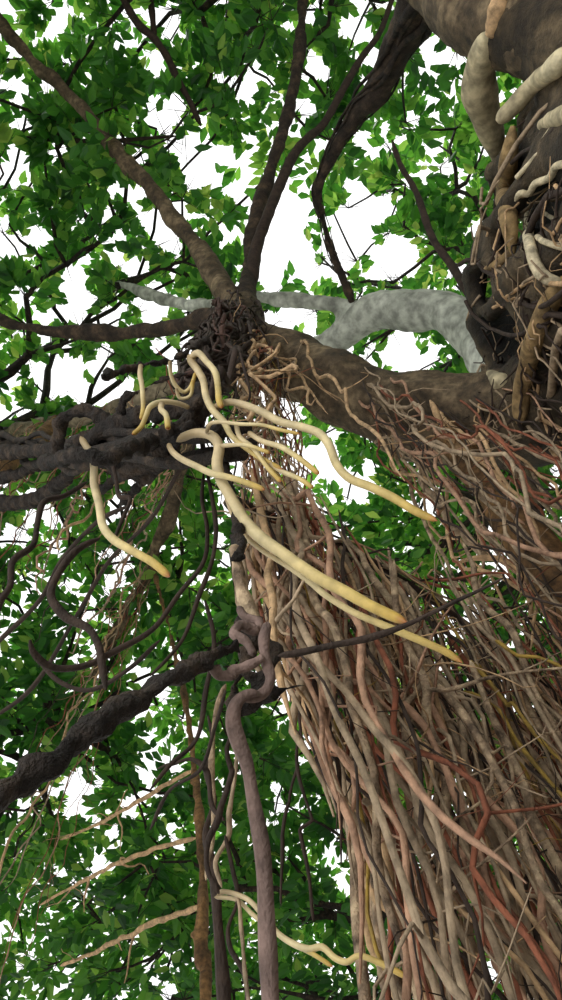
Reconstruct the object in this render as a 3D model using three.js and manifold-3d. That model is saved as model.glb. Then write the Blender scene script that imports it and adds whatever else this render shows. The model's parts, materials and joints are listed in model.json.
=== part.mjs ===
// A spreading banyan: one short thick trunk on a flared foot, boughs that fan out at about 4 m,
// fifteen uneven masses of foliage, and the aerial roots that hang from the boughs or stand on the ground.
// Millimetres, +Z up. The origin is the centre of the flat cut under the trunk, on level ground.
import * as THREE from "three";
import { mergeVertices } from "three/addons/utils/BufferGeometryUtils.js";
import Module from "manifold-3d";

const wasm = await Module();
wasm.setup();

const metre = 1000;
const gap = 0.5; // clearance left between two pieces that touch
const ground = 0; // height of the flat cuts
const below = -0.2; // metres that a foot is drawn below the ground before it is cut level

const colours = {
  bark: { color: 0x6f6455, roughness: 0.92, metalness: 0 },
  paleBark: { color: 0x9a958a, roughness: 0.9, metalness: 0 },
  darkBark: { color: 0x463b33, roughness: 0.94, metalness: 0 },
  aerialRoot: { color: 0x7b6350, roughness: 0.9, metalness: 0 },
  foliage: { color: 0x3f6b34, roughness: 0.8, metalness: 0 },
};

// Trunk: radius in metres at each height in metres, how deep its ribs are there as a share of the radius,
// and how far its tip leans from the centre of its foot, in metres
const trunk = {
  sides: 24,
  ribs: 6,
  twist: 0.4, // turn of the ribs about the trunk, in radians for each metre of height
  lean: [-0.1, 0.16],
  heights: [below, 0, 0.2, 0.45, 0.8, 1.3, 2.0, 2.8, 3.4, 3.8, 4.2, 4.75],
  radii: [1.2, 1.18, 1.06, 0.95, 0.86, 0.78, 0.73, 0.7, 0.7, 0.7, 0.66, 0.42],
  ribDepth: [0.24, 0.23, 0.18, 0.14, 0.1, 0.08, 0.06, 0.05, 0.06, 0.06, 0.05, 0],
};

// Boughs: centre line in metres from the piece that carries it, and radius in metres at its two ends
const boughs = {
  bough_over: {
    path: [[-0.35, 0.42, 3.5], [-0.8, 0.5, 3.98], [-1.2, 0.34, 4.3], [-1.47, 0.15, 4.8], [-1.52, 0, 5.2]],
    radii: [0.19, 0.11],
  },
  bough_rear_left: {
    path: [
      [-1.52, 0, 5.12],
      [-1.64, -0.32, 5.75],
      [-2.12, -1.23, 6.65],
      [-2.66, -2.1, 7.05],
      [-3.0, -2.95, 7.1],
    ],
    radii: [0.06, 0.042],
  },
  bough_rear_upper: {
    path: [[-1.48, 0, 5.12], [-1.36, -0.34, 5.75], [-0.86, -1.3, 6.55], [-0.55, -2.2, 7.15]],
    radii: [0.044, 0.034],
  },
  bough_left: {
    path: [[-1.53, 0, 5.06], [-2.23, -0.02, 5.8], [-2.95, -0.25, 6.25], [-3.65, -0.95, 6.5]],
    radii: [0.046, 0.034],
  },
  bough_twisted: {
    path: [
      [-0.63, -0.97, 4.42],
      [-0.66, -0.88, 4.75],
      [-0.764, -0.769, 5.0],
      [-0.9, -0.64, 5.23],
      [-1.02, -0.456, 5.4],
      [-1.0, -0.3, 5.5],
      [-0.97, -0.17, 5.58],
      [-0.9, 0.1, 5.64],
    ],
    radii: [0.08, 0.022],
  },
  bough_grey: {
    path: [
      [-0.12, 0.34, 4.05],
      [-0.42, 0.44, 4.7],
      [-0.5, 0.25, 5.2],
      [-0.77, 0.14, 5.52],
      [-1.18, 0.31, 5.79],
      [-1.6, 0.36, 6.0],
    ],
    radii: [0.17, 0.064],
  },
  bough_grey_long: {
    path: [[-1.45, 0.32, 5.95], [-2.35, 0.41, 6.2], [-3.0, 0.47, 6.55], [-3.4, 0.55, 6.95]],
    radii: [0.062, 0.045],
  },
  bough_grey_left: {
    path: [[-0.85, 0.13, 5.62], [-1.3, -0.02, 5.95], [-1.74, -0.07, 6.44], [-2.33, -0.34, 7.23]],
    radii: [0.05, 0.038],
  },
  bough_inner_front: {
    path: [[-1.75, 0.36, 6.04], [-2.2, 1.1, 6.45], [-2.8, 2.0, 6.7], [-3.5, 2.7, 6.6]],
    radii: [0.06, 0.045],
  },
  bough_rear: {
    path: [
      [-0.25, -0.3, 3.15],
      [-0.52, -0.58, 3.75],
      [-0.63, -0.95, 4.4],
      [-0.78, -1.95, 5.1],
      [-1.05, -3.6, 5.8],
    ],
    radii: [0.14, 0.08],
  },
  bough_front_left: {
    path: [[0.0, 0.4, 3.3], [-0.1, 1.5, 4.3], [-0.6, 2.9, 5.1], [-1.3, 4.1, 5.6]],
    radii: [0.18, 0.075],
  },
  bough_front: {
    path: [[0.15, 0.35, 3.4], [0.5, 1.6, 4.6], [0.85, 2.9, 5.4], [1.0, 4.2, 5.95]],
    radii: [0.16, 0.07],
  },
  bough_front_right: {
    path: [[0.3, 0.2, 3.3], [1.5, 1.05, 4.4], [2.7, 1.95, 5.2], [3.7, 2.7, 5.75]],
    radii: [0.18, 0.08],
  },
  bough_right: {
    path: [[0.35, -0.05, 3.5], [1.6, -0.2, 4.6], [3.1, -0.4, 5.5], [4.2, -0.5, 5.95]],
    radii: [0.18, 0.08],
  },
  bough_rear_right: {
    path: [[0.25, -0.3, 3.25], [1.2, -1.4, 4.35], [2.2, -2.7, 5.3], [2.75, -3.5, 5.7]],
    radii: [0.18, 0.08],
  },
  leader: {
    path: [[-0.1, 0.15, 4.5], [0.08, 0.12, 5.4], [0.45, 0.3, 6.6], [0.75, 0.45, 7.5]],
    radii: [0.2, 0.09],
  },
  bough_upper_right: {
    path: [[0.08, 0.12, 5.25], [1.0, -0.05, 6.0], [1.85, -0.25, 6.7]],
    radii: [0.1, 0.06],
  },
  bough_upper_front: {
    path: [[0.14, 0.17, 5.65], [0.25, 1.1, 6.4], [0.35, 1.85, 6.85]],
    radii: [0.09, 0.055],
  },
};

// Masses of foliage: centre and half sizes in metres
const masses = {
  crown_top: { centre: [1.15, 0.7, 8.4], half: [2.45, 2.45, 1.4] },
  crown_inner_left: { centre: [-3.2, -0.2, 7.8], half: [2.1, 2.4, 1.3] },
  crown_inner_rear: { centre: [-0.8, -3.0, 7.7], half: [2.6, 2.2, 1.35] },
  crown_inner_right: { centre: [3.1, -1.0, 7.5], half: [2.1, 2.3, 1.35] },
  crown_inner_front: { centre: [-0.4, 3.3, 7.6], half: [2.7, 2.1, 1.3] },
  crown_left: { centre: [-5.3, 0.75, 6.65], half: [2.0, 1.9, 1.45] },
  crown_left_rear: { centre: [-4.9, -2.1, 6.4], half: [1.9, 2.0, 1.4] },
  crown_rear_left: { centre: [-3.2, -4.5, 6.6], half: [2.0, 2.0, 1.4] },
  crown_rear: { centre: [-0.8, -5.5, 6.2], half: [2.1, 2.0, 1.45] },
  crown_rear_right: { centre: [3.0, -4.75, 6.2], half: [2.4, 2.1, 1.5] },
  crown_right: { centre: [5.4, -1.1, 6.2], half: [2.0, 2.5, 1.5] },
  crown_front_right: { centre: [4.5, 3.2, 6.2], half: [2.4, 2.3, 1.5] },
  crown_front: { centre: [1.3, 5.5, 6.4], half: [2.4, 2.0, 1.5] },
  crown_front_left: { centre: [-2.3, 5.2, 6.2], half: [2.2, 2.1, 1.5] },
  crown_left_front: { centre: [-4.8, 3.4, 6.5], half: [2.1, 2.0, 1.4] },
};

// Curtains of hanging roots: the stretch of bough that carries each, as shares of its length, its thickness
// at the top, the sideways push of its hem, and how far the hem hangs at even steps along it, in metres
const curtains = {
  root_curtain_over_a: {
    bough: "bough_over",
    stretch: [0.24, 0.5],
    thick: 0.4,
    push: [-0.03, 0.3],
    drops: [3.0, 2.85, 3.1, 2.8],
  },
  root_curtain_over_b: {
    bough: "bough_over",
    stretch: [0.51, 0.78],
    thick: 0.34,
    push: [-0.08, 0.42],
    drops: [2.7, 2.5, 2.6, 2.3],
  },
  root_curtain_front_a: {
    bough: "bough_front_left",
    stretch: [0.18, 0.34],
    thick: 0.5,
    push: [0, 0],
    drops: [3.2, 3.5, 3.1],
  },
  root_curtain_front_b: {
    bough: "bough_front_left",
    stretch: [0.36, 0.55],
    thick: 0.46,
    push: [0, 0],
    drops: [2.5, 2.9, 2.2],
  },
  root_curtain_right: {
    bough: "bough_right",
    stretch: [0.3, 0.52],
    thick: 0.4,
    push: [0, 0],
    drops: [1.9, 2.6, 1.7],
  },
  root_curtain_rear_right: {
    bough: "bough_rear_right",
    stretch: [0.3, 0.48],
    thick: 0.4,
    push: [0, 0],
    drops: [1.6, 2.3, 1.8],
  },
  root_curtain_rear: {
    bough: "bough_rear",
    stretch: [0.55, 0.7],
    thick: 0.34,
    push: [0, 0],
    drops: [1.8, 2.2, 1.5],
  },
};

// Single woody roots: the pillars stand on the ground, the other two hang
const roots = {
  root_bundle: {
    path: [
      [-1.52, 0.05, 5.0],
      [-1.58, 0.08, 4.3],
      [-1.6, 0.14, 3.1],
      [-1.57, 0.26, 2.1],
      [-1.55, 0.33, 1.0],
    ],
    radii: [0.11, 0.025],
  },
  root_slanting: {
    path: [
      [-1.54, 0.1, 2.36],
      [-1.68, 0.12, 2.56],
      [-2.06, 0.19, 3.3],
      [-2.67, 0.2, 4.6],
      [-3.24, -0.52, 6.36],
    ],
    radii: [0.035, 0.045],
  },
  root_pillar_over: {
    path: [[-0.92, 0.46, 4.05], [-0.95, 0.8, 2.4], [-0.92, 0.98, below]],
    radii: [0.05, 0.09],
  },
  root_pillar_front: {
    path: [[-2.49, 1.55, 6.62], [-2.16, 1.98, 4.6], [-1.98, 2.1, below]],
    radii: [0.032, 0.06],
  },
  root_pillar_left: {
    path: [[-2.8, 0.45, 6.4], [-2.95, 0.62, 3.6], [-3.05, 0.7, below]],
    radii: [0.045, 0.1],
  },
  root_pillar_right: {
    path: [[2.75, -0.36, 5.3], [2.8, -0.45, 2.6], [2.86, -0.5, below]],
    radii: [0.06, 0.14],
  },
  root_pillar_front_right: {
    path: [[2.4, 1.75, 5.05], [2.36, 1.82, 2.5], [2.3, 1.9, below]],
    radii: [0.06, 0.12],
  },
};

const vector = ([x, y, z]) => new THREE.Vector3(x, y, z).multiplyScalar(metre);

function mix(a, b, share) {
  return a + (b - a) * share;
}

// The value that a list of numbers has at a share of its length
function alongList(list, share) {
  const place = share * (list.length - 1);
  const low = Math.min(Math.floor(place), list.length - 2);
  return mix(list[low], list[low + 1], place - low);
}

// Smooth bumps over a sphere of directions, from -1 to 1, different for each seed
function lumps(direction, seed) {
  const waves = 5;
  let sum = 0;
  for (let wave = 1; wave <= waves; wave++) {
    const turn = seed * 1.7 + wave * 2.4;
    const rise = Math.sin(seed * 0.9 + wave * 1.3);
    const flat = Math.sqrt(1 - rise * rise);
    const facing = new THREE.Vector3(Math.cos(turn) * flat, Math.sin(turn) * flat, rise).dot(direction);
    sum += Math.cos(facing * (2.2 + wave * 0.9) + wave + seed);
  }
  return sum / waves;
}

const weld = 1e-3; // points closer than this become one

function solidOf(geometry) {
  geometry.deleteAttribute("uv");
  geometry.deleteAttribute("normal");
  const merged = mergeVertices(geometry, weld);
  const mesh = new wasm.Mesh({
    numProp: 3,
    vertProperties: merged.getAttribute("position").array,
    triVerts: new Uint32Array(merged.index.array),
  });
  return new wasm.Manifold(mesh);
}

function geometryOf(solid) {
  const mesh = solid.getMesh();
  const geometry = new THREE.BufferGeometry();
  geometry.setAttribute("position", new THREE.BufferAttribute(mesh.vertProperties, 3));
  geometry.setIndex(new THREE.BufferAttribute(mesh.triVerts, 1));
  geometry.computeVertexNormals();
  return geometry;
}

function largest(solid) {
  return solid.decompose().sort((a, b) => b.volume() - a.volume())[0];
}

// A closed cylinder bent along a curve; radiusAt(share of the length, turn) is in millimetres
function bentCylinder(curve, sides, rings, radiusAt, grow) {
  const geometry = new THREE.CylinderGeometry(1, 1, 1, sides, rings);
  const frames = curve.computeFrenetFrames(rings, false);
  const position = geometry.getAttribute("position");
  for (let i = 0; i < position.count; i++) {
    const share = position.getY(i) + 0.5;
    const ring = Math.round(share * rings);
    const across = new THREE.Vector2(position.getX(i), -position.getZ(i));
    const turn = Math.atan2(across.y, across.x);
    const radius = across.length() * (radiusAt(share, turn) + grow);
    const point = curve.getPointAt(share);
    point.addScaledVector(frames.normals[ring], Math.cos(turn) * radius);
    point.addScaledVector(frames.binormals[ring], Math.sin(turn) * radius);
    if (ring === 0) point.addScaledVector(frames.tangents[ring], -grow);
    if (ring === rings) point.addScaledVector(frames.tangents[ring], grow);
    position.setXYZ(i, point.x, point.y, point.z);
  }
  return geometry;
}

function cutLevel(solid) {
  return solid.trimByPlane([0, 0, 1], ground);
}

// The trunk's rings stand level, so its foot is flat and its ribs run up it
function trunkSolid(grow) {
  const rings = trunk.heights.length - 1;
  const geometry = new THREE.CylinderGeometry(1, 1, 1, trunk.sides, rings);
  const position = geometry.getAttribute("position");
  const tallest = trunk.heights[rings];
  for (let i = 0; i < position.count; i++) {
    const ring = Math.round((position.getY(i) + 0.5) * rings);
    const height = trunk.heights[ring];
    const lean = (height / tallest) ** 2 * metre;
    const turn = Math.atan2(-position.getZ(i), position.getX(i));
    const distance = Math.hypot(position.getX(i), position.getZ(i));
    const wave = Math.cos(trunk.ribs * turn + height * trunk.twist + Math.sin(turn));
    const rib = 1 + trunk.ribDepth[ring] * wave;
    const radius = distance * (trunk.radii[ring] * metre * rib + grow);
    const x = trunk.lean[0] * lean + Math.cos(turn) * radius;
    const y = trunk.lean[1] * lean + Math.sin(turn) * radius;
    position.setXYZ(i, x, y, height * metre + (ring === rings ? grow : 0));
  }
  return cutLevel(solidOf(geometry));
}

const limbSides = 7;
const limbStep = 1050; // millimetres between the rings of a limb
const limbBumps = 0.07; // unevenness of a limb, as a share of its radius

function curveOf(limb) {
  return new THREE.CatmullRomCurve3(limb.path.map(vector));
}

function limbSolid(limb, seed, grow) {
  const curve = curveOf(limb);
  const fewestRings = 4;
  const rings = Math.max(fewestRings, Math.round(curve.getLength() / limbStep) + 1);
  const swellings = 9; // how fast the bumps come and go along the limb
  const radiusAt = (share, turn) => {
    const bump = 1 + limbBumps * Math.sin(share * swellings + seed) * Math.cos(2 * turn + seed);
    return mix(limb.radii[0], limb.radii[1], share) * metre * bump;
  };
  return solidOf(bentCylinder(curve, limbSides, rings, radiusAt, grow));
}

function rootSolid(root, seed, grow) {
  return cutLevel(limbSolid(root, seed, grow));
}

// A slab of hanging roots: its top follows the bough inside it and its hem is ragged
function curtainSolid(curtain, grow) {
  const curve = curveOf(boughs[curtain.bough]);
  const geometry = new THREE.BoxGeometry(1, 1, 1, 2 * (curtain.drops.length - 1), 1, 3);
  const position = geometry.getAttribute("position");
  const hemThickness = 0.35; // the hem's thickness as a share of the top's
  const edgeThickness = 0.5; // the same for its two upright edges and its middle
  for (let i = 0; i < position.count; i++) {
    const along = position.getX(i) + 0.5;
    const down = 0.5 - position.getZ(i);
    const share = mix(curtain.stretch[0], curtain.stretch[1], along);
    const top = curve.getPointAt(share);
    const heading = curve.getTangentAt(share).setZ(0).normalize();
    const side = new THREE.Vector3(-heading.y, heading.x, 0);
    const swell = mix(1, hemThickness, down ** 2) * mix(1, edgeThickness, (2 * along - 1) ** 4);
    const point = top.addScaledVector(side, position.getY(i) * (curtain.thick * metre * swell + 2 * grow));
    point.x += curtain.push[0] * metre * down;
    point.y += curtain.push[1] * metre * down;
    point.z -= alongList(curtain.drops, along) * metre * down;
    point.addScaledVector(heading, (2 * along - 1) * grow);
    position.setXYZ(i, point.x, point.y, point.z);
  }
  return cutLevel(solidOf(geometry));
}

const massDetail = 2; // each face of the icosahedron is split into (detail + 1) squared
const lumpHeight = 0.22; // height of the lumps as a share of the mass's half size
const underside = 0.78; // how far the underside reaches, as a share of the top

function massSolid(mass, seed, grow) {
  const geometry = new THREE.IcosahedronGeometry(1, massDetail);
  const position = geometry.getAttribute("position");
  const centre = vector(mass.centre);
  const half = vector(mass.half);
  for (let i = 0; i < position.count; i++) {
    const direction = new THREE.Vector3().fromBufferAttribute(position, i).normalize();
    const reach = 1 + lumpHeight * lumps(direction, seed);
    const out = direction.clone().multiply(half).multiplyScalar(reach);
    if (out.z < 0) out.z *= underside;
    out.add(centre).addScaledVector(direction, grow);
    position.setXYZ(i, out.x, out.y, out.z);
  }
  return solidOf(geometry);
}

// Every piece in the order in which it is made: a later one is cut back from those before it
const plan = [{ name: "trunk", finish: colours.bark, solid: trunkSolid }];
Object.entries(boughs).forEach(([name, bough], seed) => {
  const finish = name.startsWith("bough_grey") ? colours.paleBark : colours.bark;
  plan.push({ name, finish, solid: (grow) => limbSolid(bough, seed, grow) });
});
Object.entries(roots).forEach(([name, root], seed) => {
  plan.push({ name, finish: colours.darkBark, solid: (grow) => rootSolid(root, seed, grow) });
});
Object.entries(curtains).forEach(([name, curtain]) => {
  plan.push({ name, finish: colours.aerialRoot, solid: (grow) => curtainSolid(curtain, grow) });
});
Object.entries(masses).forEach(([name, mass], seed) => {
  plan.push({ name, finish: colours.foliage, solid: (grow) => massSolid(mass, seed + 1, grow) });
});

const tree = new THREE.Group();
tree.name = "banyan_tree";
const made = [];
for (const { name, finish, solid } of plan) {
  let piece = solid(0);
  for (const cutter of made) piece = piece.subtract(cutter);
  piece = largest(piece);
  made.push(solid(gap));
  const mesh = new THREE.Mesh(geometryOf(piece), new THREE.MeshStandardMaterial(finish));
  mesh.name = name;
  tree.add(mesh);
}

export default tree;
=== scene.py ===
import json
import math

import bmesh
import bpy
import numpy as np
from mathutils import Matrix, Vector, noise
from mathutils.bvhtree import BVHTree

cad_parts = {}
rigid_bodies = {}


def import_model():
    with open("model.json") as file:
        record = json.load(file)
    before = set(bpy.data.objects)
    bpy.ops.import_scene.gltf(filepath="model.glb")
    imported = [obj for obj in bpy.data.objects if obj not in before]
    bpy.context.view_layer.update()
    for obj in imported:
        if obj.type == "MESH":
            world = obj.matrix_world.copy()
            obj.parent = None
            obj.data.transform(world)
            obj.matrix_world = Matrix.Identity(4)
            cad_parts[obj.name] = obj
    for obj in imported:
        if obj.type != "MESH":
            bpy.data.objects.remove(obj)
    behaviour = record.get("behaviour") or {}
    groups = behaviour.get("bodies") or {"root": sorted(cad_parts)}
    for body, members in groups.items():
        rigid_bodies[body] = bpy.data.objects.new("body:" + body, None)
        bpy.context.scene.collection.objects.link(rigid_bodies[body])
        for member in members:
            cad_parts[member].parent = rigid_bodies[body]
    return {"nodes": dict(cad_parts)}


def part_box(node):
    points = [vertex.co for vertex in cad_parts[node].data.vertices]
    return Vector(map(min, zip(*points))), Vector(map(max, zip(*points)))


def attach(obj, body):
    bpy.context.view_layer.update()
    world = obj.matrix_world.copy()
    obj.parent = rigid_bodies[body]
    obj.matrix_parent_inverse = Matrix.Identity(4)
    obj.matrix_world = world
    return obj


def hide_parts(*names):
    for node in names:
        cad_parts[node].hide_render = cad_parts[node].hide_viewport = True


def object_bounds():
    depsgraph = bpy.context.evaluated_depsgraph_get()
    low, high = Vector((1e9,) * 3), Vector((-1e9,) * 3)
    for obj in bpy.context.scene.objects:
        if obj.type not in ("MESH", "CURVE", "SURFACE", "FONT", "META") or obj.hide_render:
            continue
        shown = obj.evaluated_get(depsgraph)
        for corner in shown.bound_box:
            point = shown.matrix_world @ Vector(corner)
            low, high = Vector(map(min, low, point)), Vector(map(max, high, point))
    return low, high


# Banyan seen from beside its trunk, looking up. Metres, +Z up, same frame as the CAD solids.
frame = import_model()
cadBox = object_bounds()
cadNodes = frame["nodes"]
scene = bpy.context.scene
print("frame loaded,", len(cadNodes), "solids")


# Camera

camera = {
    "place": (-1.5, -0.05, 1.5),
    "rise": 74.8,  # degrees above the horizon
    "roll": 12.1,
    "lens": 27.07,  # mm, with 36 mm on the long side
    "sensor": 36.0,
    "image": (562, 1000),  # pixels
}


def cameraAxes():
    rise = math.radians(camera["rise"])
    roll = math.radians(camera["roll"])
    ahead = np.array([0, math.cos(rise), math.sin(rise)])
    right = np.array([1.0, 0, 0])
    up = np.array([0, -math.sin(rise), math.cos(rise)])
    turnedRight = right * math.cos(roll) - up * math.sin(roll)
    turnedUp = right * math.sin(roll) + up * math.cos(roll)
    return turnedRight, turnedUp, ahead


# in pixels of the photo
def focalLength():
    return camera["lens"] / camera["sensor"] * max(camera["image"])


def sightLine(pixel):
    right, up, ahead = cameraAxes()
    wide, high = camera["image"]
    focal = focalLength()
    line = ahead + (pixel[0] - wide / 2) / focal * right - (pixel[1] - high / 2) / focal * up
    return line / np.linalg.norm(line)


# the point that a pixel of the photo shows, so many metres from the camera
def sightPoint(pixel, distance):
    return np.array(camera["place"]) + sightLine(pixel) * distance


# where points fall in the photo, in pixels, and how far ahead of the camera they are
def pictureSpots(points):
    right, up, ahead = cameraAxes()
    wide, high = camera["image"]
    focal = focalLength()
    off = points - np.array(camera["place"])
    depth = off @ ahead
    return wide / 2 + focal * (off @ right) / depth, high / 2 - focal * (off @ up) / depth, depth


def makeCamera():
    lens = bpy.data.cameras.new("camera")
    lens.sensor_width = camera["sensor"]
    lens.lens = camera["lens"]
    lens.clip_start = 0.05
    lens.clip_end = 200
    holder = bpy.data.objects.new("camera", lens)
    scene.collection.objects.link(holder)
    right, up, ahead = cameraAxes()
    turn = Matrix((right, up, -ahead)).transposed().to_4x4()
    holder.matrix_world = Matrix.Translation(camera["place"]) @ turn
    scene.camera = holder


makeCamera()
print("camera placed")


# Small tools

def hexColour(text):
    parts = [int(text[i:i + 2], 16) / 255 for i in (1, 3, 5)]
    linear = [c / 12.92 if c <= 0.04045 else ((c + 0.055) / 1.055) ** 2.4 for c in parts]
    return (*linear, 1)


def addNode(tree, kind, values=None, links=None, **settings):
    node = tree.nodes.new(kind)
    for key, value in settings.items():
        setattr(node, key, value)
    for key, value in (values or {}).items():
        node.inputs[key].default_value = value
    for key, source in (links or {}).items():
        tree.links.new(source, node.inputs[key])
    return node


def setRamp(node, stops):
    ramp = node.color_ramp
    while len(ramp.elements) < len(stops):
        ramp.elements.new(0.5)
    for element, (position, colour) in zip(ramp.elements, stops):
        element.position = position
        element.color = hexColour(colour)


def newMaterial(name):
    material = bpy.data.materials.new(name)
    material.use_nodes = True
    tree = material.node_tree
    tree.nodes.clear()
    return material, tree


# smooth line through a few points (centripetal), evenly stepped along its length
def smoothPath(points, steps):
    points = np.array(points, float)
    ends = [2 * points[0] - points[1]], [2 * points[-1] - points[-2]]
    knots = np.vstack([ends[0], points, ends[1]])
    share = np.linspace(0, 1, 24)[:, None]
    line = []
    for a, b, c, d in zip(knots, knots[1:], knots[2:], knots[3:]):
        before, here, after = (max(np.linalg.norm(q - p), 1e-6) ** 0.5 for p, q in ((a, b), (b, c), (c, d)))
        leave = ((b - a) / before - (c - a) / (before + here) + (c - b) / here) * here
        reach = ((c - b) / here - (d - b) / (here + after) + (d - c) / after) * here
        cubic = 2 * b - 2 * c + leave + reach
        square = 3 * c - 3 * b - 2 * leave - reach
        line.append(b + leave * share + square * share**2 + cubic * share**3)
    return evenSteps(np.vstack(line), steps)


def evenSteps(line, steps):
    along = np.concatenate([[0], np.cumsum(np.linalg.norm(np.diff(line, axis=0), axis=1))])
    wanted = np.linspace(0, along[-1], steps)
    return np.column_stack([np.interp(wanted, along, line[:, i]) for i in range(3)])


def pathLength(line):
    return float(np.linalg.norm(np.diff(line, axis=0), axis=1).sum())


def unit(vectors):
    return vectors / np.maximum(np.linalg.norm(vectors, axis=-1, keepdims=True), 1e-9)


# slow random sway for each point of a line, in metres, stronger in long waves than in short ones
def sway(rng, count, length, size, longest=0.9, waves=6):
    along = np.linspace(0, length, count)
    total = np.zeros((count, 3))
    for wave in range(1, waves + 1):
        turn = rng.uniform(0, 2 * math.pi, 3)
        strength = rng.normal(0, 1, 3) / wave
        total += strength * np.sin(along[:, None] * wave * 2 * math.pi / longest + turn)
    return total * size


# small irregular kinks, one every few centimetres
def crook(rng, count, length, size, spacing=0.06):
    knots = max(3, int(length / spacing))
    spots = np.concatenate([[0], np.sort(rng.random(knots)), [1]])
    offsets = rng.normal(0, size, (len(spots), 3))
    offsets[0] = 0
    share = np.linspace(0, 1, count)
    bent = np.column_stack([np.interp(share, spots, offsets[:, i]) for i in range(3)])
    bent[1:-1] = (bent[:-2] + 2 * bent[1:-1] + bent[2:]) / 4
    return bent


# a short thin root that curls off on its own
def curlingRoot(rng, start, length, radius, fall=0.7):
    count = max(6, int(length / 0.022))
    heading = unit(rng.normal(0, 1, 3) * (1, 1, 0.5) - (0, 0, fall))
    line = start + heading * np.linspace(0, length, count)[:, None]
    line += sway(rng, count, length, length * 0.06, longest=length * 1.6, waves=2)
    line += crook(rng, count, length, 0.013, spacing=0.05)
    line += start - line[0]
    line[:, 2] = np.maximum(line[:, 2], 0.01)
    return line, radius * np.linspace(1, 0.35, count)


# tubes along (points, radii) lines, joined into one mesh
def tubeMesh(name, strands, sides=6, caps=True):
    curve = bpy.data.curves.new(name, "CURVE")
    curve.dimensions = "3D"
    curve.bevel_depth = 1
    curve.bevel_resolution = (sides - 4) // 2
    curve.use_fill_caps = caps
    for points, radii in strands:
        spline = curve.splines.new("POLY")
        spline.points.add(len(points) - 1)
        spline.points.foreach_set("co", np.column_stack([points, np.ones(len(points))]).ravel())
        spline.points.foreach_set("radius", np.asarray(radii, float))
    holder = bpy.data.objects.new(name, curve)
    scene.collection.objects.link(holder)
    mesh = bpy.data.meshes.new_from_object(holder.evaluated_get(bpy.context.evaluated_depsgraph_get()))
    bpy.data.objects.remove(holder)
    mesh.name = name
    mesh.shade_smooth()
    return mesh


# a mesh from arrays, for leaves and twiglets
def arrayMesh(name, points, faces):
    mesh = bpy.data.meshes.new(name)
    mesh.from_pydata(points.reshape(-1, 3), [], faces.reshape(-1, 3).tolist())
    return mesh


def joinedMesh(name, meshes):
    shape = bmesh.new()
    for mesh in meshes:
        shape.from_mesh(mesh)
        bpy.data.meshes.remove(mesh)
    joined = bpy.data.meshes.new(name)
    shape.to_mesh(joined)
    shape.free()
    return joined


# one skin round everything in a mesh, softened where pieces meet
def fusedMesh(mesh, voxel, softening):
    holder = bpy.data.objects.new(mesh.name, mesh)
    scene.collection.objects.link(holder)
    remesh = holder.modifiers.new("skin", "REMESH")
    remesh.mode = "VOXEL"
    remesh.voxel_size = voxel
    smooth = holder.modifiers.new("soften", "SMOOTH")
    smooth.iterations = softening
    smooth.factor = 0.5
    fused = bpy.data.meshes.new_from_object(holder.evaluated_get(bpy.context.evaluated_depsgraph_get()))
    bpy.data.objects.remove(holder)
    return fused


# pushes a surface in and out by layered noise: (size of the lumps, height), both in metres
def roughen(mesh, layers, stretch=1.0):
    count = len(mesh.vertices)
    points = np.empty(count * 3)
    normals = np.empty(count * 3)
    mesh.vertices.foreach_get("co", points)
    mesh.vertex_normals.foreach_get("vector", normals)
    points = points.reshape(-1, 3)
    push = np.zeros(count)
    for size, height in layers:
        spots = points / size
        spots[:, 2] /= stretch
        push += height * np.array([noise.noise(spot) for spot in spots.tolist()])
    points += normals.reshape(-1, 3) * push[:, None]
    points[:, 2] = np.maximum(points[:, 2], 0)  # nothing goes below ground
    mesh.vertices.foreach_set("co", points.ravel())
    mesh.update()


# cuts off what lies below ground and closes the cut
def clearGround(mesh):
    shape = bmesh.new()
    shape.from_mesh(mesh)
    whole = shape.verts[:] + shape.edges[:] + shape.faces[:]
    cut = bmesh.ops.bisect_plane(shape, geom=whole, plane_co=(0, 0, 0), plane_no=(0, 0, 1), clear_inner=True)
    rim = [edge for edge in cut["geom_cut"] if isinstance(edge, bmesh.types.BMEdge)]
    bmesh.ops.holes_fill(shape, edges=rim)
    shape.to_mesh(mesh)
    shape.free()


# a piece of the tree, with the solids that it replaces
def addPiece(name, mesh, material, slot, *stoodFor):
    mesh.materials.clear()
    mesh.materials.append(material)
    mesh.name = name
    piece = bpy.data.objects.new(name, mesh)
    scene.collection.objects.link(piece)
    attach(piece, "root")
    if stoodFor:
        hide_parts(*stoodFor)
    return piece


# Bark

# takes a value from one range to another
def mapRange(tree, source, low, high, least, most):
    values = {"From Min": low, "From Max": high, "To Min": least, "To Max": most}
    return addNode(tree, "ShaderNodeMapRange", values, {"Value": source}).outputs["Result"]


# a colour made darker or lighter by a value
def shadedColour(tree, colour, amount):
    scaled = addNode(tree, "ShaderNodeVectorMath", links={0: colour}, operation="SCALE")
    tree.links.new(amount, scaled.inputs["Scale"])
    return scaled.outputs["Vector"]


# ends a material: its colour, and the bumps that a height gives it
def finishSkin(tree, colour, height, strength, relief, roughness):
    bump = addNode(tree, "ShaderNodeBump", {"Strength": strength, "Distance": relief}, {"Height": height})
    surface = addNode(tree, "ShaderNodeBsdfPrincipled", {"Roughness": roughness, "IOR": 1.45},
                      {"Base Color": colour, "Normal": bump.outputs["Normal"]})
    addNode(tree, "ShaderNodeOutputMaterial", links={"Surface": surface.outputs["BSDF"]})


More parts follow.
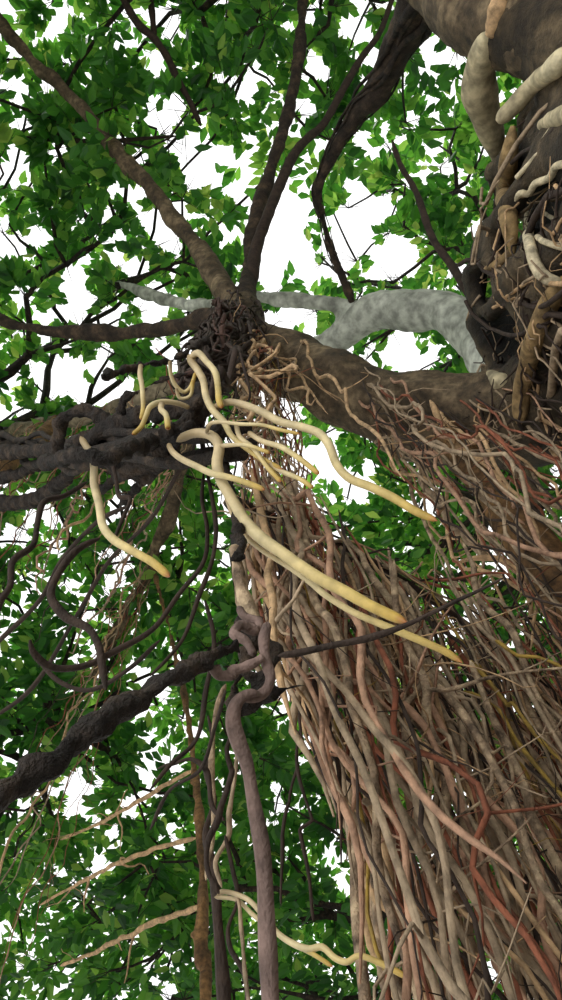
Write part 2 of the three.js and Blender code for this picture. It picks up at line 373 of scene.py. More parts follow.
# Smooth fig bark: thin and tight, so it shows patches and faint rings more than cracks
def figBark(name, dark, middle, pale, patch=0.16, grain=0.006, relief=0.004, roughness=0.8, paintedCleftShade=False):
    material, tree = newMaterial(name)
    place = addNode(tree, "ShaderNodeTexCoord").outputs["Object"]
    patches = addNode(tree, "ShaderNodeTexNoise", {"Scale": 1 / patch, "Detail": 6, "Roughness": 0.62},
                      {"Vector": place})
    tone = addNode(tree, "ShaderNodeValToRGB", links={"Fac": patches.outputs["Fac"]})
    setRamp(tone, [(0.32, dark), (0.5, middle), (0.68, pale)])
    specks = addNode(tree, "ShaderNodeTexNoise", {"Scale": 1 / (grain * 4), "Detail": 4}, {"Vector": place})
    shade = mapRange(tree, specks.outputs["Fac"], 0.35, 0.65, 0.55, 1.2)
    colour = shadedColour(tree, tone.outputs["Color"], shade)
    if paintedCleftShade:
        # painted shade: the clefts between fused roots are darkened, to 7% of the bark's colour where
        # deepest, as if they got hardly any light
        depth = addNode(tree, "ShaderNodeAttribute", attribute_name="hollow")
        colour = shadedColour(tree, colour, mapRange(tree, depth.outputs["Fac"], 0.0, 1.0, 1.0, 0.07))
    fibres = addNode(tree, "ShaderNodeTexNoise", {"Scale": 1 / grain, "Detail": 3, "Roughness": 0.6},
                     {"Vector": place})
    finishSkin(tree, colour, fibres.outputs["Fac"], 1.0, relief, roughness)
    return material


# Root bark: stringy and matt, one colour to a bunch, with fine ridges that run down it
def rootBark(name, colour, grain=0.003, relief=0.0025, roughness=0.85):
    material, tree = newMaterial(name)
    place = addNode(tree, "ShaderNodeTexCoord").outputs["Object"]
    stretched = addNode(tree, "ShaderNodeMapping", {"Scale": (1, 1, 0.25)}, {"Vector": place})
    patches = addNode(tree, "ShaderNodeTexNoise", {"Scale": 35, "Detail": 5, "Roughness": 0.65},
                      {"Vector": place})
    shade = mapRange(tree, patches.outputs["Fac"], 0.32, 0.66, 0.4, 1.35)
    base = addNode(tree, "ShaderNodeVectorMath", {0: hexColour(colour)[:3]}, operation="SCALE")
    tree.links.new(shade, base.inputs["Scale"])
    ridges = addNode(tree, "ShaderNodeTexNoise", {"Scale": 1 / grain, "Detail": 2},
                     {"Vector": stretched.outputs["Vector"]})
    finishSkin(tree, base.outputs["Vector"], ridges.outputs["Fac"], 0.8, relief, roughness)
    return material


# Young root: waxy cream skin that yellows towards an orange-red growing tip
def youngRootSkin(name):
    material, tree = newMaterial(name)
    place = addNode(tree, "ShaderNodeTexCoord").outputs["Object"]
    along = addNode(tree, "ShaderNodeAttribute", attribute_name="along")
    skin = addNode(tree, "ShaderNodeValToRGB", links={"Fac": along.outputs["Fac"]})
    setRamp(skin, [(0.0, "#8a744f"), (0.14, "#cab68f"), (0.5, "#d8c798"),
                   (0.85, "#cab066"), (0.97, "#ba9a48"), (1.0, "#984f2a")])
    blotches = addNode(tree, "ShaderNodeTexNoise", {"Scale": 60, "Detail": 4}, {"Vector": place})
    shade = mapRange(tree, blotches.outputs["Fac"], 0.3, 0.7, 0.72, 1.12)
    colour = shadedColour(tree, skin.outputs["Color"], shade)
    wrinkles = addNode(tree, "ShaderNodeTexNoise", {"Scale": 350, "Detail": 2}, {"Vector": place})
    finishSkin(tree, colour, wrinkles.outputs["Fac"], 0.4, 0.0008, 0.5)
    return material


# Fig leaf: leathery, glossy above, and lit yellow-green from behind
def figLeaf(name, face, through, letThrough=0.46):
    material, tree = newMaterial(name)
    blade = addNode(tree, "ShaderNodeBsdfPrincipled",
                    {"Base Color": hexColour(face), "Roughness": 0.42, "IOR": 1.45})
    glow = addNode(tree, "ShaderNodeBsdfTranslucent", {"Color": hexColour(through)})
    mixed = addNode(tree, "ShaderNodeMixShader", {"Fac": letThrough},
                    {1: blade.outputs["BSDF"], 2: glow.outputs["BSDF"]})
    addNode(tree, "ShaderNodeOutputMaterial", links={"Surface": mixed.outputs["Shader"]})
    return material


trunkBark = figBark("fusedRootBark", "#211a13", "#443929", "#76654c", patch=0.16, grain=0.007, relief=0.01,
                    paintedCleftShade=True)
brownBark = figBark("smoothBrownBark", "#372e22", "#5f503c", "#8c7a5f", patch=0.1, grain=0.006, relief=0.006)
# the smooth brown bark made darker: painted shade for the overhead boughs that are in shadow
shadedCopyBark = figBark("shadedBrownBark", "#211913", "#3b2f25", "#5f4d3b", patch=0.08, grain=0.006, relief=0.008)
darkBark = figBark("weatheredDarkBark", "#19130f", "#30261f", "#5a4939", patch=0.04, grain=0.004,
                   relief=0.012)
greyBark = figBark("paleGreyBark", "#91958a", "#b9bdb0", "#dcdfd4", patch=0.3, grain=0.012, relief=0.003)
dullGreyBark = figBark("dullGreyBark", "#56503f", "#7f745d", "#a0947b", patch=0.2, grain=0.008, relief=0.003)
crackedRoot = figBark("crackedRootBark", "#554638", "#a89075", "#d6be9a", patch=0.025, grain=0.004,
                      relief=0.004)
tanRoot = rootBark("tanRootBark", "#c4a27a")
greyRoot = rootBark("greyRootBark", "#a69177")
rustRoot = rootBark("rustyRootBark", "#8a523b")
dullRustRoot = rootBark("dullRustyRootBark", "#42291f")
pinkRoot = rootBark("pinkRootBark", "#b08a70")
darkRoot = rootBark("darkRootBark", "#3a2d25")
mauveRoot = rootBark("mauveRootBark", "#7d6860")
orangeRoot = figBark("smoothTanBark", "#66543a", "#977d54", "#bb9f72", patch=0.1, grain=0.006, relief=0.003)
yellowRoot = rootBark("yellowRootBark", "#a88a3c", roughness=0.6)
paleRoot = rootBark("paleRootBark", "#cdbf9f", roughness=0.7)
paleBark = figBark("smoothPaleBark", "#a3977a", "#c4b693", "#e0d4b1", patch=0.2, grain=0.008, relief=0.002)
tanPillar = figBark("pillarRootBark", "#4d3a26", "#7b5c3a", "#a07a4c", patch=0.09, grain=0.004, relief=0.003)
youngRoot = youngRootSkin("youngRootSkin")
print("bark and root materials made")


# Boughs, on the same lines as their solids

boughLines = {
    "bough_over": ([(-0.35, 0.42, 3.5), (-0.8, 0.5, 3.98), (-1.2, 0.34, 4.3), (-1.47, 0.15, 4.8),
                    (-1.52, 0, 5.2)], (0.19, 0.11)),
    "bough_rear_left": ([(-1.52, 0, 5.12), (-1.64, -0.32, 5.75), (-2.12, -1.23, 6.65),
                         (-2.66, -2.1, 7.05), (-3.0, -2.95, 7.1)], (0.06, 0.042)),
    "bough_rear_upper": ([(-1.48, 0, 5.12), (-1.36, -0.34, 5.75), (-0.86, -1.3, 6.55),
                          (-0.55, -2.2, 7.15)], (0.044, 0.034)),
    "bough_left": ([(-1.53, 0, 5.06), (-2.23, -0.02, 5.8), (-2.95, -0.25, 6.25), (-3.65, -0.95, 6.5)],
                   (0.046, 0.034)),
    # hangs over from the rear bough to the grey one, and is thickest where it starts
    "bough_twisted": ([(-0.63, -0.97, 4.42), (-0.66, -0.88, 4.75), (-0.764, -0.769, 5.0),
                       (-0.9, -0.64, 5.23), (-1.02, -0.456, 5.4), (-1.0, -0.3, 5.5), (-0.97, -0.17, 5.58),
                       (-0.9, 0.1, 5.64)], (0.085, 0.078, 0.056, 0.034, 0.023, 0.021, 0.028)),
    "bough_grey": ([(-0.12, 0.34, 4.05), (-0.42, 0.44, 4.7), (-0.5, 0.25, 5.2), (-0.77, 0.14, 5.52),
                    (-1.18, 0.31, 5.79), (-1.6, 0.36, 6.0)], (0.17, 0.064)),
    "bough_grey_long": ([(-1.45, 0.32, 5.95), (-2.35, 0.41, 6.2), (-3.0, 0.47, 6.55), (-3.4, 0.55, 6.95)],
                        (0.062, 0.045)),
    "bough_grey_left": ([(-0.85, 0.13, 5.62), (-1.3, -0.02, 5.95), (-1.74, -0.07, 6.44),
                         (-2.33, -0.34, 7.23)], (0.05, 0.038)),
    "bough_inner_front": ([(-1.75, 0.36, 6.04), (-2.2, 1.1, 6.45), (-2.8, 2.0, 6.7), (-3.5, 2.7, 6.6)],
                          (0.06, 0.045)),
    "bough_rear": ([(-0.25, -0.3, 3.15), (-0.52, -0.58, 3.75), (-0.63, -0.95, 4.4), (-0.78, -1.95, 5.1),
                    (-1.05, -3.6, 5.8)], (0.14, 0.08)),
    "bough_front_left": ([(0.0, 0.4, 3.3), (-0.1, 1.5, 4.3), (-0.6, 2.9, 5.1), (-1.3, 4.1, 5.6)],
                         (0.18, 0.075)),
    "bough_front": ([(0.15, 0.35, 3.4), (0.5, 1.6, 4.6), (0.85, 2.9, 5.4), (1.0, 4.2, 5.95)],
                    (0.16, 0.07)),
    "bough_front_right": ([(0.3, 0.2, 3.3), (1.5, 1.05, 4.4), (2.7, 1.95, 5.2), (3.7, 2.7, 5.75)],
                          (0.18, 0.08)),
    "bough_right": ([(0.35, -0.05, 3.5), (1.6, -0.2, 4.6), (3.1, -0.4, 5.5), (4.2, -0.5, 5.95)],
                    (0.18, 0.08)),
    "bough_rear_right": ([(0.25, -0.3, 3.25), (1.2, -1.4, 4.35), (2.2, -2.7, 5.3), (2.75, -3.5, 5.7)],
                         (0.18, 0.08)),
    "leader": ([(-0.1, 0.15, 4.5), (0.08, 0.12, 5.4), (0.45, 0.3, 6.6), (0.75, 0.45, 7.5)], (0.2, 0.09)),
    "bough_upper_right": ([(0.08, 0.12, 5.25), (1.0, -0.05, 6.0), (1.85, -0.25, 6.7)], (0.1, 0.06)),
    "bough_upper_front": ([(0.14, 0.17, 5.65), (0.25, 1.1, 6.4), (0.35, 1.85, 6.85)], (0.09, 0.055)),
}

# boughs that meet are skinned together
boughGroups = {
    "overheadBoughs": {
        "boughs": ["bough_over", "bough_rear_left"],
        "bark": brownBark, "slot": "bark", "voxel": 0.016, "sway": 0.011, "seed": 3,
    },
    "shadedBoughs": {
        "boughs": ["bough_rear_upper", "bough_left", "bough_twisted"],
        "bark": shadedCopyBark, "slot": "bark", "voxel": 0.014, "sway": 0.011, "seed": 7,
    },
    "greyBoughs": {
        "boughs": ["bough_grey", "bough_grey_left"],
        "bark": greyBark, "slot": "pale_bark", "voxel": 0.017, "sway": 0.012, "seed": 4,
    },
    "farGreyBough": {
        "boughs": ["bough_grey_long"],
        "bark": dullGreyBark, "slot": "pale_bark", "voxel": 0.02, "sway": 0.012, "seed": 8,
    },
    "outerBoughs": {
        "boughs": ["bough_rear", "bough_front_left", "bough_front", "bough_front_right", "bough_right",
                   "bough_rear_right", "bough_inner_front", "leader", "bough_upper_right",
                   "bough_upper_front"],
        "bark": brownBark, "slot": "bark", "voxel": 0.035, "sway": 0.03, "seed": 5,
    },
}
boughRelief = [(0.22, 0.02), (0.07, 0.008), (0.03, 0.004)]
boughSteps = 60


def boughStrand(name, rng, swaySize):
    points, widths = boughLines[name]
    line = smoothPath(points, boughSteps)
    held = np.sin(np.linspace(0, math.pi, boughSteps))[:, None]  # both ends stay where the solid has them
    line = line + sway(rng, boughSteps, pathLength(line), swaySize, longest=1.6) * held
    share = np.linspace(0, 1, boughSteps)
    broad = np.sin(share * 17 + rng.uniform(0, 6))
    narrow = np.sin(share * 41 + rng.uniform(0, 6))
    lumps = 1 + 0.07 * broad + 0.05 * narrow
    wide = np.interp(share, np.linspace(0, 1, len(widths)), widths)
    return line, wide * lumps * 0.94


boughStrands = {}


def makeBoughs(name, group):
    rng = np.random.default_rng(group["seed"])
    for bough in group["boughs"]:
        boughStrands[bough] = boughStrand(bough, rng, group["sway"])
    mesh = tubeMesh(name, [boughStrands[bough] for bough in group["boughs"]], sides=14)
    mesh = fusedMesh(mesh, group["voxel"], 3)
    roughen(mesh, boughRelief)
    mesh.shade_smooth()
    addPiece(name, mesh, group["bark"], group["slot"], *group["boughs"])
    print(name, len(mesh.polygons), "faces")


# dark roots that have grown round one of the overhead boughs
boughWraps = {"bough": "bough_twisted", "strands": 12, "radius": (0.006, 0.02), "seed": 6}


def makeBoughWraps():
    rng = np.random.default_rng(boughWraps["seed"])
    line, radii = boughStrands[boughWraps["bough"]]
    share = np.linspace(0, 1, boughSteps)
    strands = []
    for i in range(boughWraps["strands"]):
        turn = rng.uniform(0, 2 * math.pi) + share * rng.uniform(2, 7) * rng.choice((-1, 1))
        radius = rng.uniform(*boughWraps["radius"]) * np.interp(share, (0, 0.5, 1), (1, 0.5, 0.3))
        ahead = unit(np.gradient(line, axis=0))
        side = unit(np.cross(ahead, (0.2, 0.3, 1)))
        other = np.cross(ahead, side)
        around = np.cos(turn)[:, None] * side + np.sin(turn)[:, None] * other
        out = (radii + 0.3 * radius)[:, None] * around
        stop = int(rng.uniform(25, boughSteps))
        wrap = (line + out + sway(rng, boughSteps, pathLength(line), 0.004, longest=0.5))[:stop]
        strands.append((wrap, radius[:stop] * np.linspace(1, 0.4, stop)))
    addPiece("boughWraps", tubeMesh("boughWraps", strands, sides=8), darkBark, "bark")


for groupName, group in boughGroups.items():
    makeBoughs(groupName, group)
makeBoughWraps()


# Trunk: a core with many roots grown down round it and into each other

trunk = {
    "heights": [-0.2, 0, 0.2, 0.45, 0.8, 1.3, 2.0, 2.8, 3.4, 3.8, 4.2, 4.75],
    "radii": [1.2, 1.18, 1.06, 0.95, 0.86, 0.78, 0.73, 0.7, 0.7, 0.7, 0.66, 0.42],
    "lean": (-0.1, 0.16),
    "coreInset": 0.17,
    "thickRoots": 34,
    "thickRadius": (0.03, 0.085),
    "rootTops": (4.1, 4.7),
    # the clefts get painted shade, darkest at this depth and only below hollowTop
    "hollowDepth": 0.05,  # clefts this deep are darkest
    "hollowTop": 4.4,
    "relief": [(0.3, 0.03), (0.09, 0.012), (0.035, 0.006)],
    "voxel": 0.034,
    "seed": 11,
}


def trunkAxis(height):
    share = np.clip(np.asarray(height, float) / trunk["heights"][-1], 0, 1) ** 2
    return np.stack([trunk["lean"][0] * share, trunk["lean"][1] * share], axis=-1)


def trunkRadius(height):
    return np.interp(height, trunk["heights"], trunk["radii"])


# a root that runs down the trunk, leaving it a little at the foot
def trunkRoot(rng, turn, top, foot, radius, wander, out):
    count = max(12, int((top - foot) / 0.07))
    height = np.linspace(top, foot, count)
    turns = turn + sway(rng, count, top - foot, wander, longest=2.2, waves=5)[:, 0]
    far = trunkRadius(height) + out + sway(rng, count, top - foot, 0.012)[:, 1]
    axis = trunkAxis(height)
    line = np.column_stack([axis[:, 0] + np.cos(turns) * far, axis[:, 1] + np.sin(turns) * far, height])
    share = np.linspace(0, 1, count)
    radii = radius * (0.75 + 0.5 * share) * (1 + 0.12 * np.sin(share * 23 + turn))
    return line, radii


def trunkCore():
    shape = bmesh.new()
    shape.from_mesh(cadNodes["trunk"].data)
    bmesh.ops.remove_doubles(shape, verts=shape.verts, dist=1e-5)
    shape.normal_update()
    for vert in shape.verts:
        if vert.co.z > 0.01:
            vert.co -= vert.normal * trunk["coreInset"]
        else:
            vert.co = vert.co * 0.93 - Vector((0, 0, 0.15))
    core = bpy.data.meshes.new("core")
    shape.to_mesh(core)
    shape.free()
    return core


# a thicker start for each bough that leaves the trunk, so that the two grow together
def boughCollar(name, reach):
    line, radii = boughStrands[name]
    steps = int(len(line) * reach)
    swell = 1 + 0.45 * (1 - np.linspace(0, 1, steps)) ** 2
    return line[:steps], radii[:steps] * swell


# the part of each bough that is thicker, as a share of its length
collars = {
    "bough_over": 0.34, "bough_rear": 0.26, "bough_front_left": 0.2, "bough_front": 0.2,
    "bough_right": 0.2, "bough_front_right": 0.2, "bough_rear_right": 0.2, "leader": 0.3,
    "bough_grey": 0.3,
}


# tells the bark how deep each point lies between the fused roots, for the shade painted into the clefts
def markHollows(mesh):
    count = len(mesh.vertices)
    points = np.empty(count * 3)
    mesh.vertices.foreach_get("co", points)
    points = points.reshape(-1, 3)
    off = points[:, :2] - trunkAxis(points[:, 2])
    inside = trunkRadius(points[:, 2]) - np.linalg.norm(off, axis=1)
    hollow = np.clip((inside - 0.005) / trunk["hollowDepth"], 0, 1) * (points[:, 2] < trunk["hollowTop"])
    mesh.attributes.new("hollow", "FLOAT", "POINT").data.foreach_set("value", hollow.astype(np.float32))


def makeTrunk():
    rng = np.random.default_rng(trunk["seed"])
    strands = []
    for i in range(trunk["thickRoots"]):
        turn = i * 2 * math.pi / trunk["thickRoots"] + rng.normal(0, 0.08)
        radius = rng.uniform(*trunk["thickRadius"])
        top = rng.uniform(*trunk["rootTops"])
        strands.append(trunkRoot(rng, turn, top, -0.15, radius, rng.uniform(0.1, 0.3), -0.7 * radius))
    for name, reach in collars.items():
        strands.append(boughCollar(name, reach))
    mesh = joinedMesh("trunk", [trunkCore(), tubeMesh("trunkRoots", strands, sides=10)])
    mesh = fusedMesh(mesh, trunk["voxel"], 3)
    clearGround(mesh)
    markHollows(mesh)
    roughen(mesh, trunk["relief"], stretch=1.6)
    mesh.shade_smooth()
    addPiece("trunkSkin", mesh, trunkBark, "bark", "trunk")
    print("trunk", len(mesh.polygons), "faces")
    return BVHTree.FromPolygons([v.co for v in mesh.vertices], [p.vertices for p in mesh.polygons])


trunkSurface = makeTrunk()


# Thin roots that wrap the trunk and cross each other

wrapping = {
    "count": 90,
    "radius": (0.004, 0.013),
    "top": (2.4, 4.2),
    "kinds": {
        "wrapTan": {"bark": tanRoot, "share": 0.24},
        "wrapGrey": {"bark": greyRoot, "share": 0.26},
        "wrapDark": {"bark": darkRoot, "share": 0.42},
        "wrapPale": {"bark": paleRoot, "share": 0.08},
    },
    "seed": 21,
}


def makeWrappingRoots():
    rng = np.random.default_rng(wrapping["seed"])
    kinds = wrapping["kinds"]
    names = list(kinds)
    chances = [kinds[name]["share"] for name in names]
    wraps = {name: [] for name in names}
    for i in range(wrapping["count"]):
        top = rng.uniform(*wrapping["top"])
        foot = max(-0.02, top - rng.uniform(0.8, 4.4))
        radius = rng.uniform(*wrapping["radius"])
        line, radii = trunkRoot(rng, rng.uniform(0, 2 * math.pi), top, foot, radius, 0.12, 0.3 * radius)
        line[:, 2] = np.maximum(line[:, 2], 1.5 * radius)
        wraps[rng.choice(names, p=chances)].append((line, radii))
    for name in names:
        addPiece(name, tubeMesh(name, wraps[name], sides=8), kinds[name]["bark"], "bark")


makeWrappingRoots()
print("roots wrapped round the trunk")


# Pillar roots and the woody hanging ones

rootLines = {
    "root_bundle": ([(-1.52, 0.05, 5.0), (-1.58, 0.08, 4.3), (-1.6, 0.14, 3.1), (-1.57, 0.26, 2.1),
                     (-1.55, 0.33, 1.0)], (0.11, 0.025)),
    "root_slanting": ([(-1.54, 0.1, 2.36), (-1.68, 0.12, 2.56), (-2.06, 0.19, 3.3), (-2.67, 0.2, 4.6),
                       (-3.24, -0.52, 6.36)], (0.035, 0.045)),
    "root_pillar_over": ([(-0.92, 0.46, 4.05), (-0.95, 0.8, 2.4), (-0.92, 0.98, 0)], (0.05, 0.09)),
    "root_pillar_front": ([(-2.49, 1.55, 6.62), (-2.16, 1.98, 4.6), (-1.98, 2.1, 0)], (0.032, 0.06)),
    "root_pillar_left": ([(-2.8, 0.45, 6.4), (-2.95, 0.62, 3.6), (-3.05, 0.7, 0)], (0.045, 0.1)),
    "root_pillar_right": ([(2.75, -0.36, 5.3), (2.8, -0.45, 2.6), (2.86, -0.5, 0)], (0.06, 0.14)),
    "root_pillar_front_right": ([(2.4, 1.75, 5.05), (2.36, 1.82, 2.5), (2.3, 1.9, 0)], (0.06, 0.12)),
}

# "slim" thins a pillar that the photo shows thinner than its solid
pillars = {"strands": 7, "seed": 31, "voxel": 0.024, "slim": {"root_pillar_front": 0.62}}
twineSteps = 90


# several roots twined into one stem
def twinedStrands(rng, name, strands, thickness=1.0):
    points, (thick, thin) = rootLines[name]
    count = twineSteps
    line = smoothPath(points, count)
    length = pathLength(line)
    share = np.linspace(0, 1, count)
    wide = (thick + (thin - thick) * share) * pillars["slim"].get(name, 1)
    twined = []
    for i in range(strands):
        turn = i * 2 * math.pi / strands + share * length * rng.uniform(0.6, 1.6) + rng.uniform(0, 1)
        off = wide * 0.5
        side = np.column_stack([np.cos(turn) * off, np.sin(turn) * off, np.zeros(count)])
        wander = sway(rng, count, length, 0.006)
        twined.append((line + side + wander, wide * thickness * rng.uniform(0.35, 0.55)))
    return twined


def makePillars():
    rng = np.random.default_rng(pillars["seed"])
    names = [name for name in rootLines if "pillar" in name]
    strands = []
    for name in names:
        strands += twinedStrands(rng, name, pillars["strands"])
    for strand in strands:
        strand[0][-1, 2] = -0.03  # below the cut at the ground
    mesh = fusedMesh(tubeMesh("pillars", strands, sides=8), pillars["voxel"], 2)
    clearGround(mesh)
    roughen(mesh, [(0.12, 0.012), (0.04, 0.005)], stretch=2)
    mesh.shade_smooth()
    addPiece("pillarRoots", mesh, tanPillar, "root_bark", *names)
    print("pillar roots", len(mesh.polygons), "faces")


makePillars()


# Roots that the photo shows one by one. Each has the pixels that it passes and, evenly spread along it, its
# distances from the camera in metres ("away") and its thicknesses in millimetres ("thick").

def sightPath(root):
    pixels = np.array(root["pixels"], float)
    along = np.concatenate([[0], np.cumsum(np.linalg.norm(np.diff(pixels, axis=0), axis=1))])
    away = np.interp(along / along[-1], np.linspace(0, 1, len(root["away"])), root["away"])
    return [sightPoint(pixel, distance) for pixel, distance in zip(pixels, away)]


# radii in metres at each step, from thicknesses in millimetres
def rootRadii(thick, steps):
    return np.interp(np.linspace(0, 1, steps), np.linspace(0, 1, len(thick)), thick) / 2000


def sightStrand(root, rng, steps=70, lumps=0.08):
    line = smoothPath(sightPath(root), steps)
    share = np.linspace(0, 1, steps)
    fine = np.sin(share * pathLength(line) * 55 + rng.uniform(0, 6))
    coarse = np.sin(share * 19 + rng.uniform(0, 6))
    return line, rootRadii(root["thick"], steps) * (1 + lumps * (fine + coarse) / 2)


youngRoots = {
    "main": {
        "pixels": [(176, 442), (184, 437), (196, 433), (212, 436), (219, 446), (217, 463), (221, 480),
                   (232, 499), (245, 521), (260, 537), (281, 552), (317, 577), (344, 591), (371, 606),
                   (408, 623)],
        "away": (0.9, 0.74, 0.58), "thick": (11, 12.5, 12, 8.5),
    },
    "mainTwin": {
        "pixels": [(222, 484), (229, 506), (240, 530), (260, 549), (290, 568), (311, 583), (324, 594),
                   (353, 612), (388, 627), (424, 642), (446, 652), (463, 663)],
        "away": (0.82, 0.58), "thick": (4, 5, 6.5, 6),
    },
    "right": {
        "pixels": [(212, 412), (219, 405), (230, 402), (245, 405), (262, 412), (281, 422), (302, 427),
                   (320, 434), (329, 445), (337, 465), (349, 478), (371, 487), (392, 497), (417, 512),
                   (438, 521)],
        "away": (0.9, 0.75, 0.62), "thick": (8, 9, 8.5, 7),
    },
    "long": {
        "pixels": [(189, 354), (191, 361), (197, 369), (203, 380), (206, 396), (212, 409), (224, 422),
                   (231, 435), (249, 450), (264, 460), (283, 470)],
        "away": (0.98, 0.75), "thick": (9, 9, 6.5, 5.5),
    },
    "hook": {
        "pixels": [(192, 362), (193, 356), (198, 353), (206, 361), (215, 372), (218, 388), (219, 400),
                   (222, 408)],
        "away": (0.98, 0.86), "thick": (8.5, 8, 7),
    },
    "low": {
        "pixels": [(168, 443), (172, 451), (180, 458), (196, 466), (211, 473), (232, 478), (250, 484),
                   (265, 490)],
        "away": (0.88, 0.74), "thick": (7, 7.5, 5.5),
    },
    "drop": {
        "pixels": [(80, 436), (86, 446), (92, 455), (94, 470), (94, 483), (99, 504), (103, 526),
                   (113, 539), (129, 549), (152, 562), (170, 577)],
        "away": (0.9, 0.8, 0.66), "thick": (8, 9, 8.5, 7),
    },
    "stub": {
        "pixels": [(141, 364), (140, 374), (142, 386), (143, 408), (141, 420)],
        "away": (0.95, 0.9), "thick": (6, 6, 5),
    },
    "arc": {
        "pixels": [(190, 408), (176, 403), (161, 402), (150, 407), (146, 416), (141, 427), (132, 435)],
        "away": (0.92, 0.88), "thick": (6, 7, 5.5),
    },
    "arcInner": {
        "pixels": [(162, 403), (161, 409), (166, 415), (168, 429)],
        "away": (0.9, 0.86), "thick": (7, 6.5),
    },
    "thinLoop": {
        "pixels": [(170, 360), (171, 375), (176, 386), (184, 392), (190, 388), (196, 372)],
        "away": (0.95, 0.95), "thick": (5, 5),
    },
    "thinDrop": {
        "pixels": [(176, 388), (180, 398), (190, 396), (193, 380)],
        "away": (0.94, 0.94), "thick": (4.5, 4.5),
    },
    "tipA": {
        "pixels": [(206, 434), (210, 424), (218, 422), (240, 424), (262, 425), (281, 430), (300, 434)],
        "away": (0.86, 0.74), "thick": (4.5, 3.5),
    },
    "tipB": {
        "pixels": [(220, 446), (245, 445), (262, 450), (270, 453)],
        "away": (0.82, 0.76), "thick": (5, 4),
    },
    "tipC": {
        "pixels": [(236, 424), (240, 437), (252, 447), (268, 468), (281, 482)],
        "away": (0.84, 0.73), "thick": (5.5, 4.5),
    },
    "tipD": {
        "pixels": [(270, 463), (281, 471), (300, 479), (313, 488)],
        "away": (0.77, 0.71), "thick": (5.5, 4.5),
    },
    "tipE": {
        "pixels": [(248, 432), (262, 441), (281, 447), (300, 459), (319, 474)],
        "away": (0.8, 0.7), "thick": (5.5, 6, 5),
    },
    "farLong": {
        "pixels": [(216, 896), (224, 892), (247, 899), (262, 914), (281, 936), (308, 949), (322, 947),
                   (335, 958), (347, 962), (358, 956), (380, 963), (410, 979)],
        "away": (0.78, 0.66), "thick": (4, 5.5, 4.5),
    },
    "farTwin": {
        "pixels": [(214, 897), (237, 900), (252, 914), (269, 927), (290, 942), (313, 954), (333, 967)],
        "away": (0.8, 0.7), "thick": (3.5, 4.5, 3.5),
    },
}

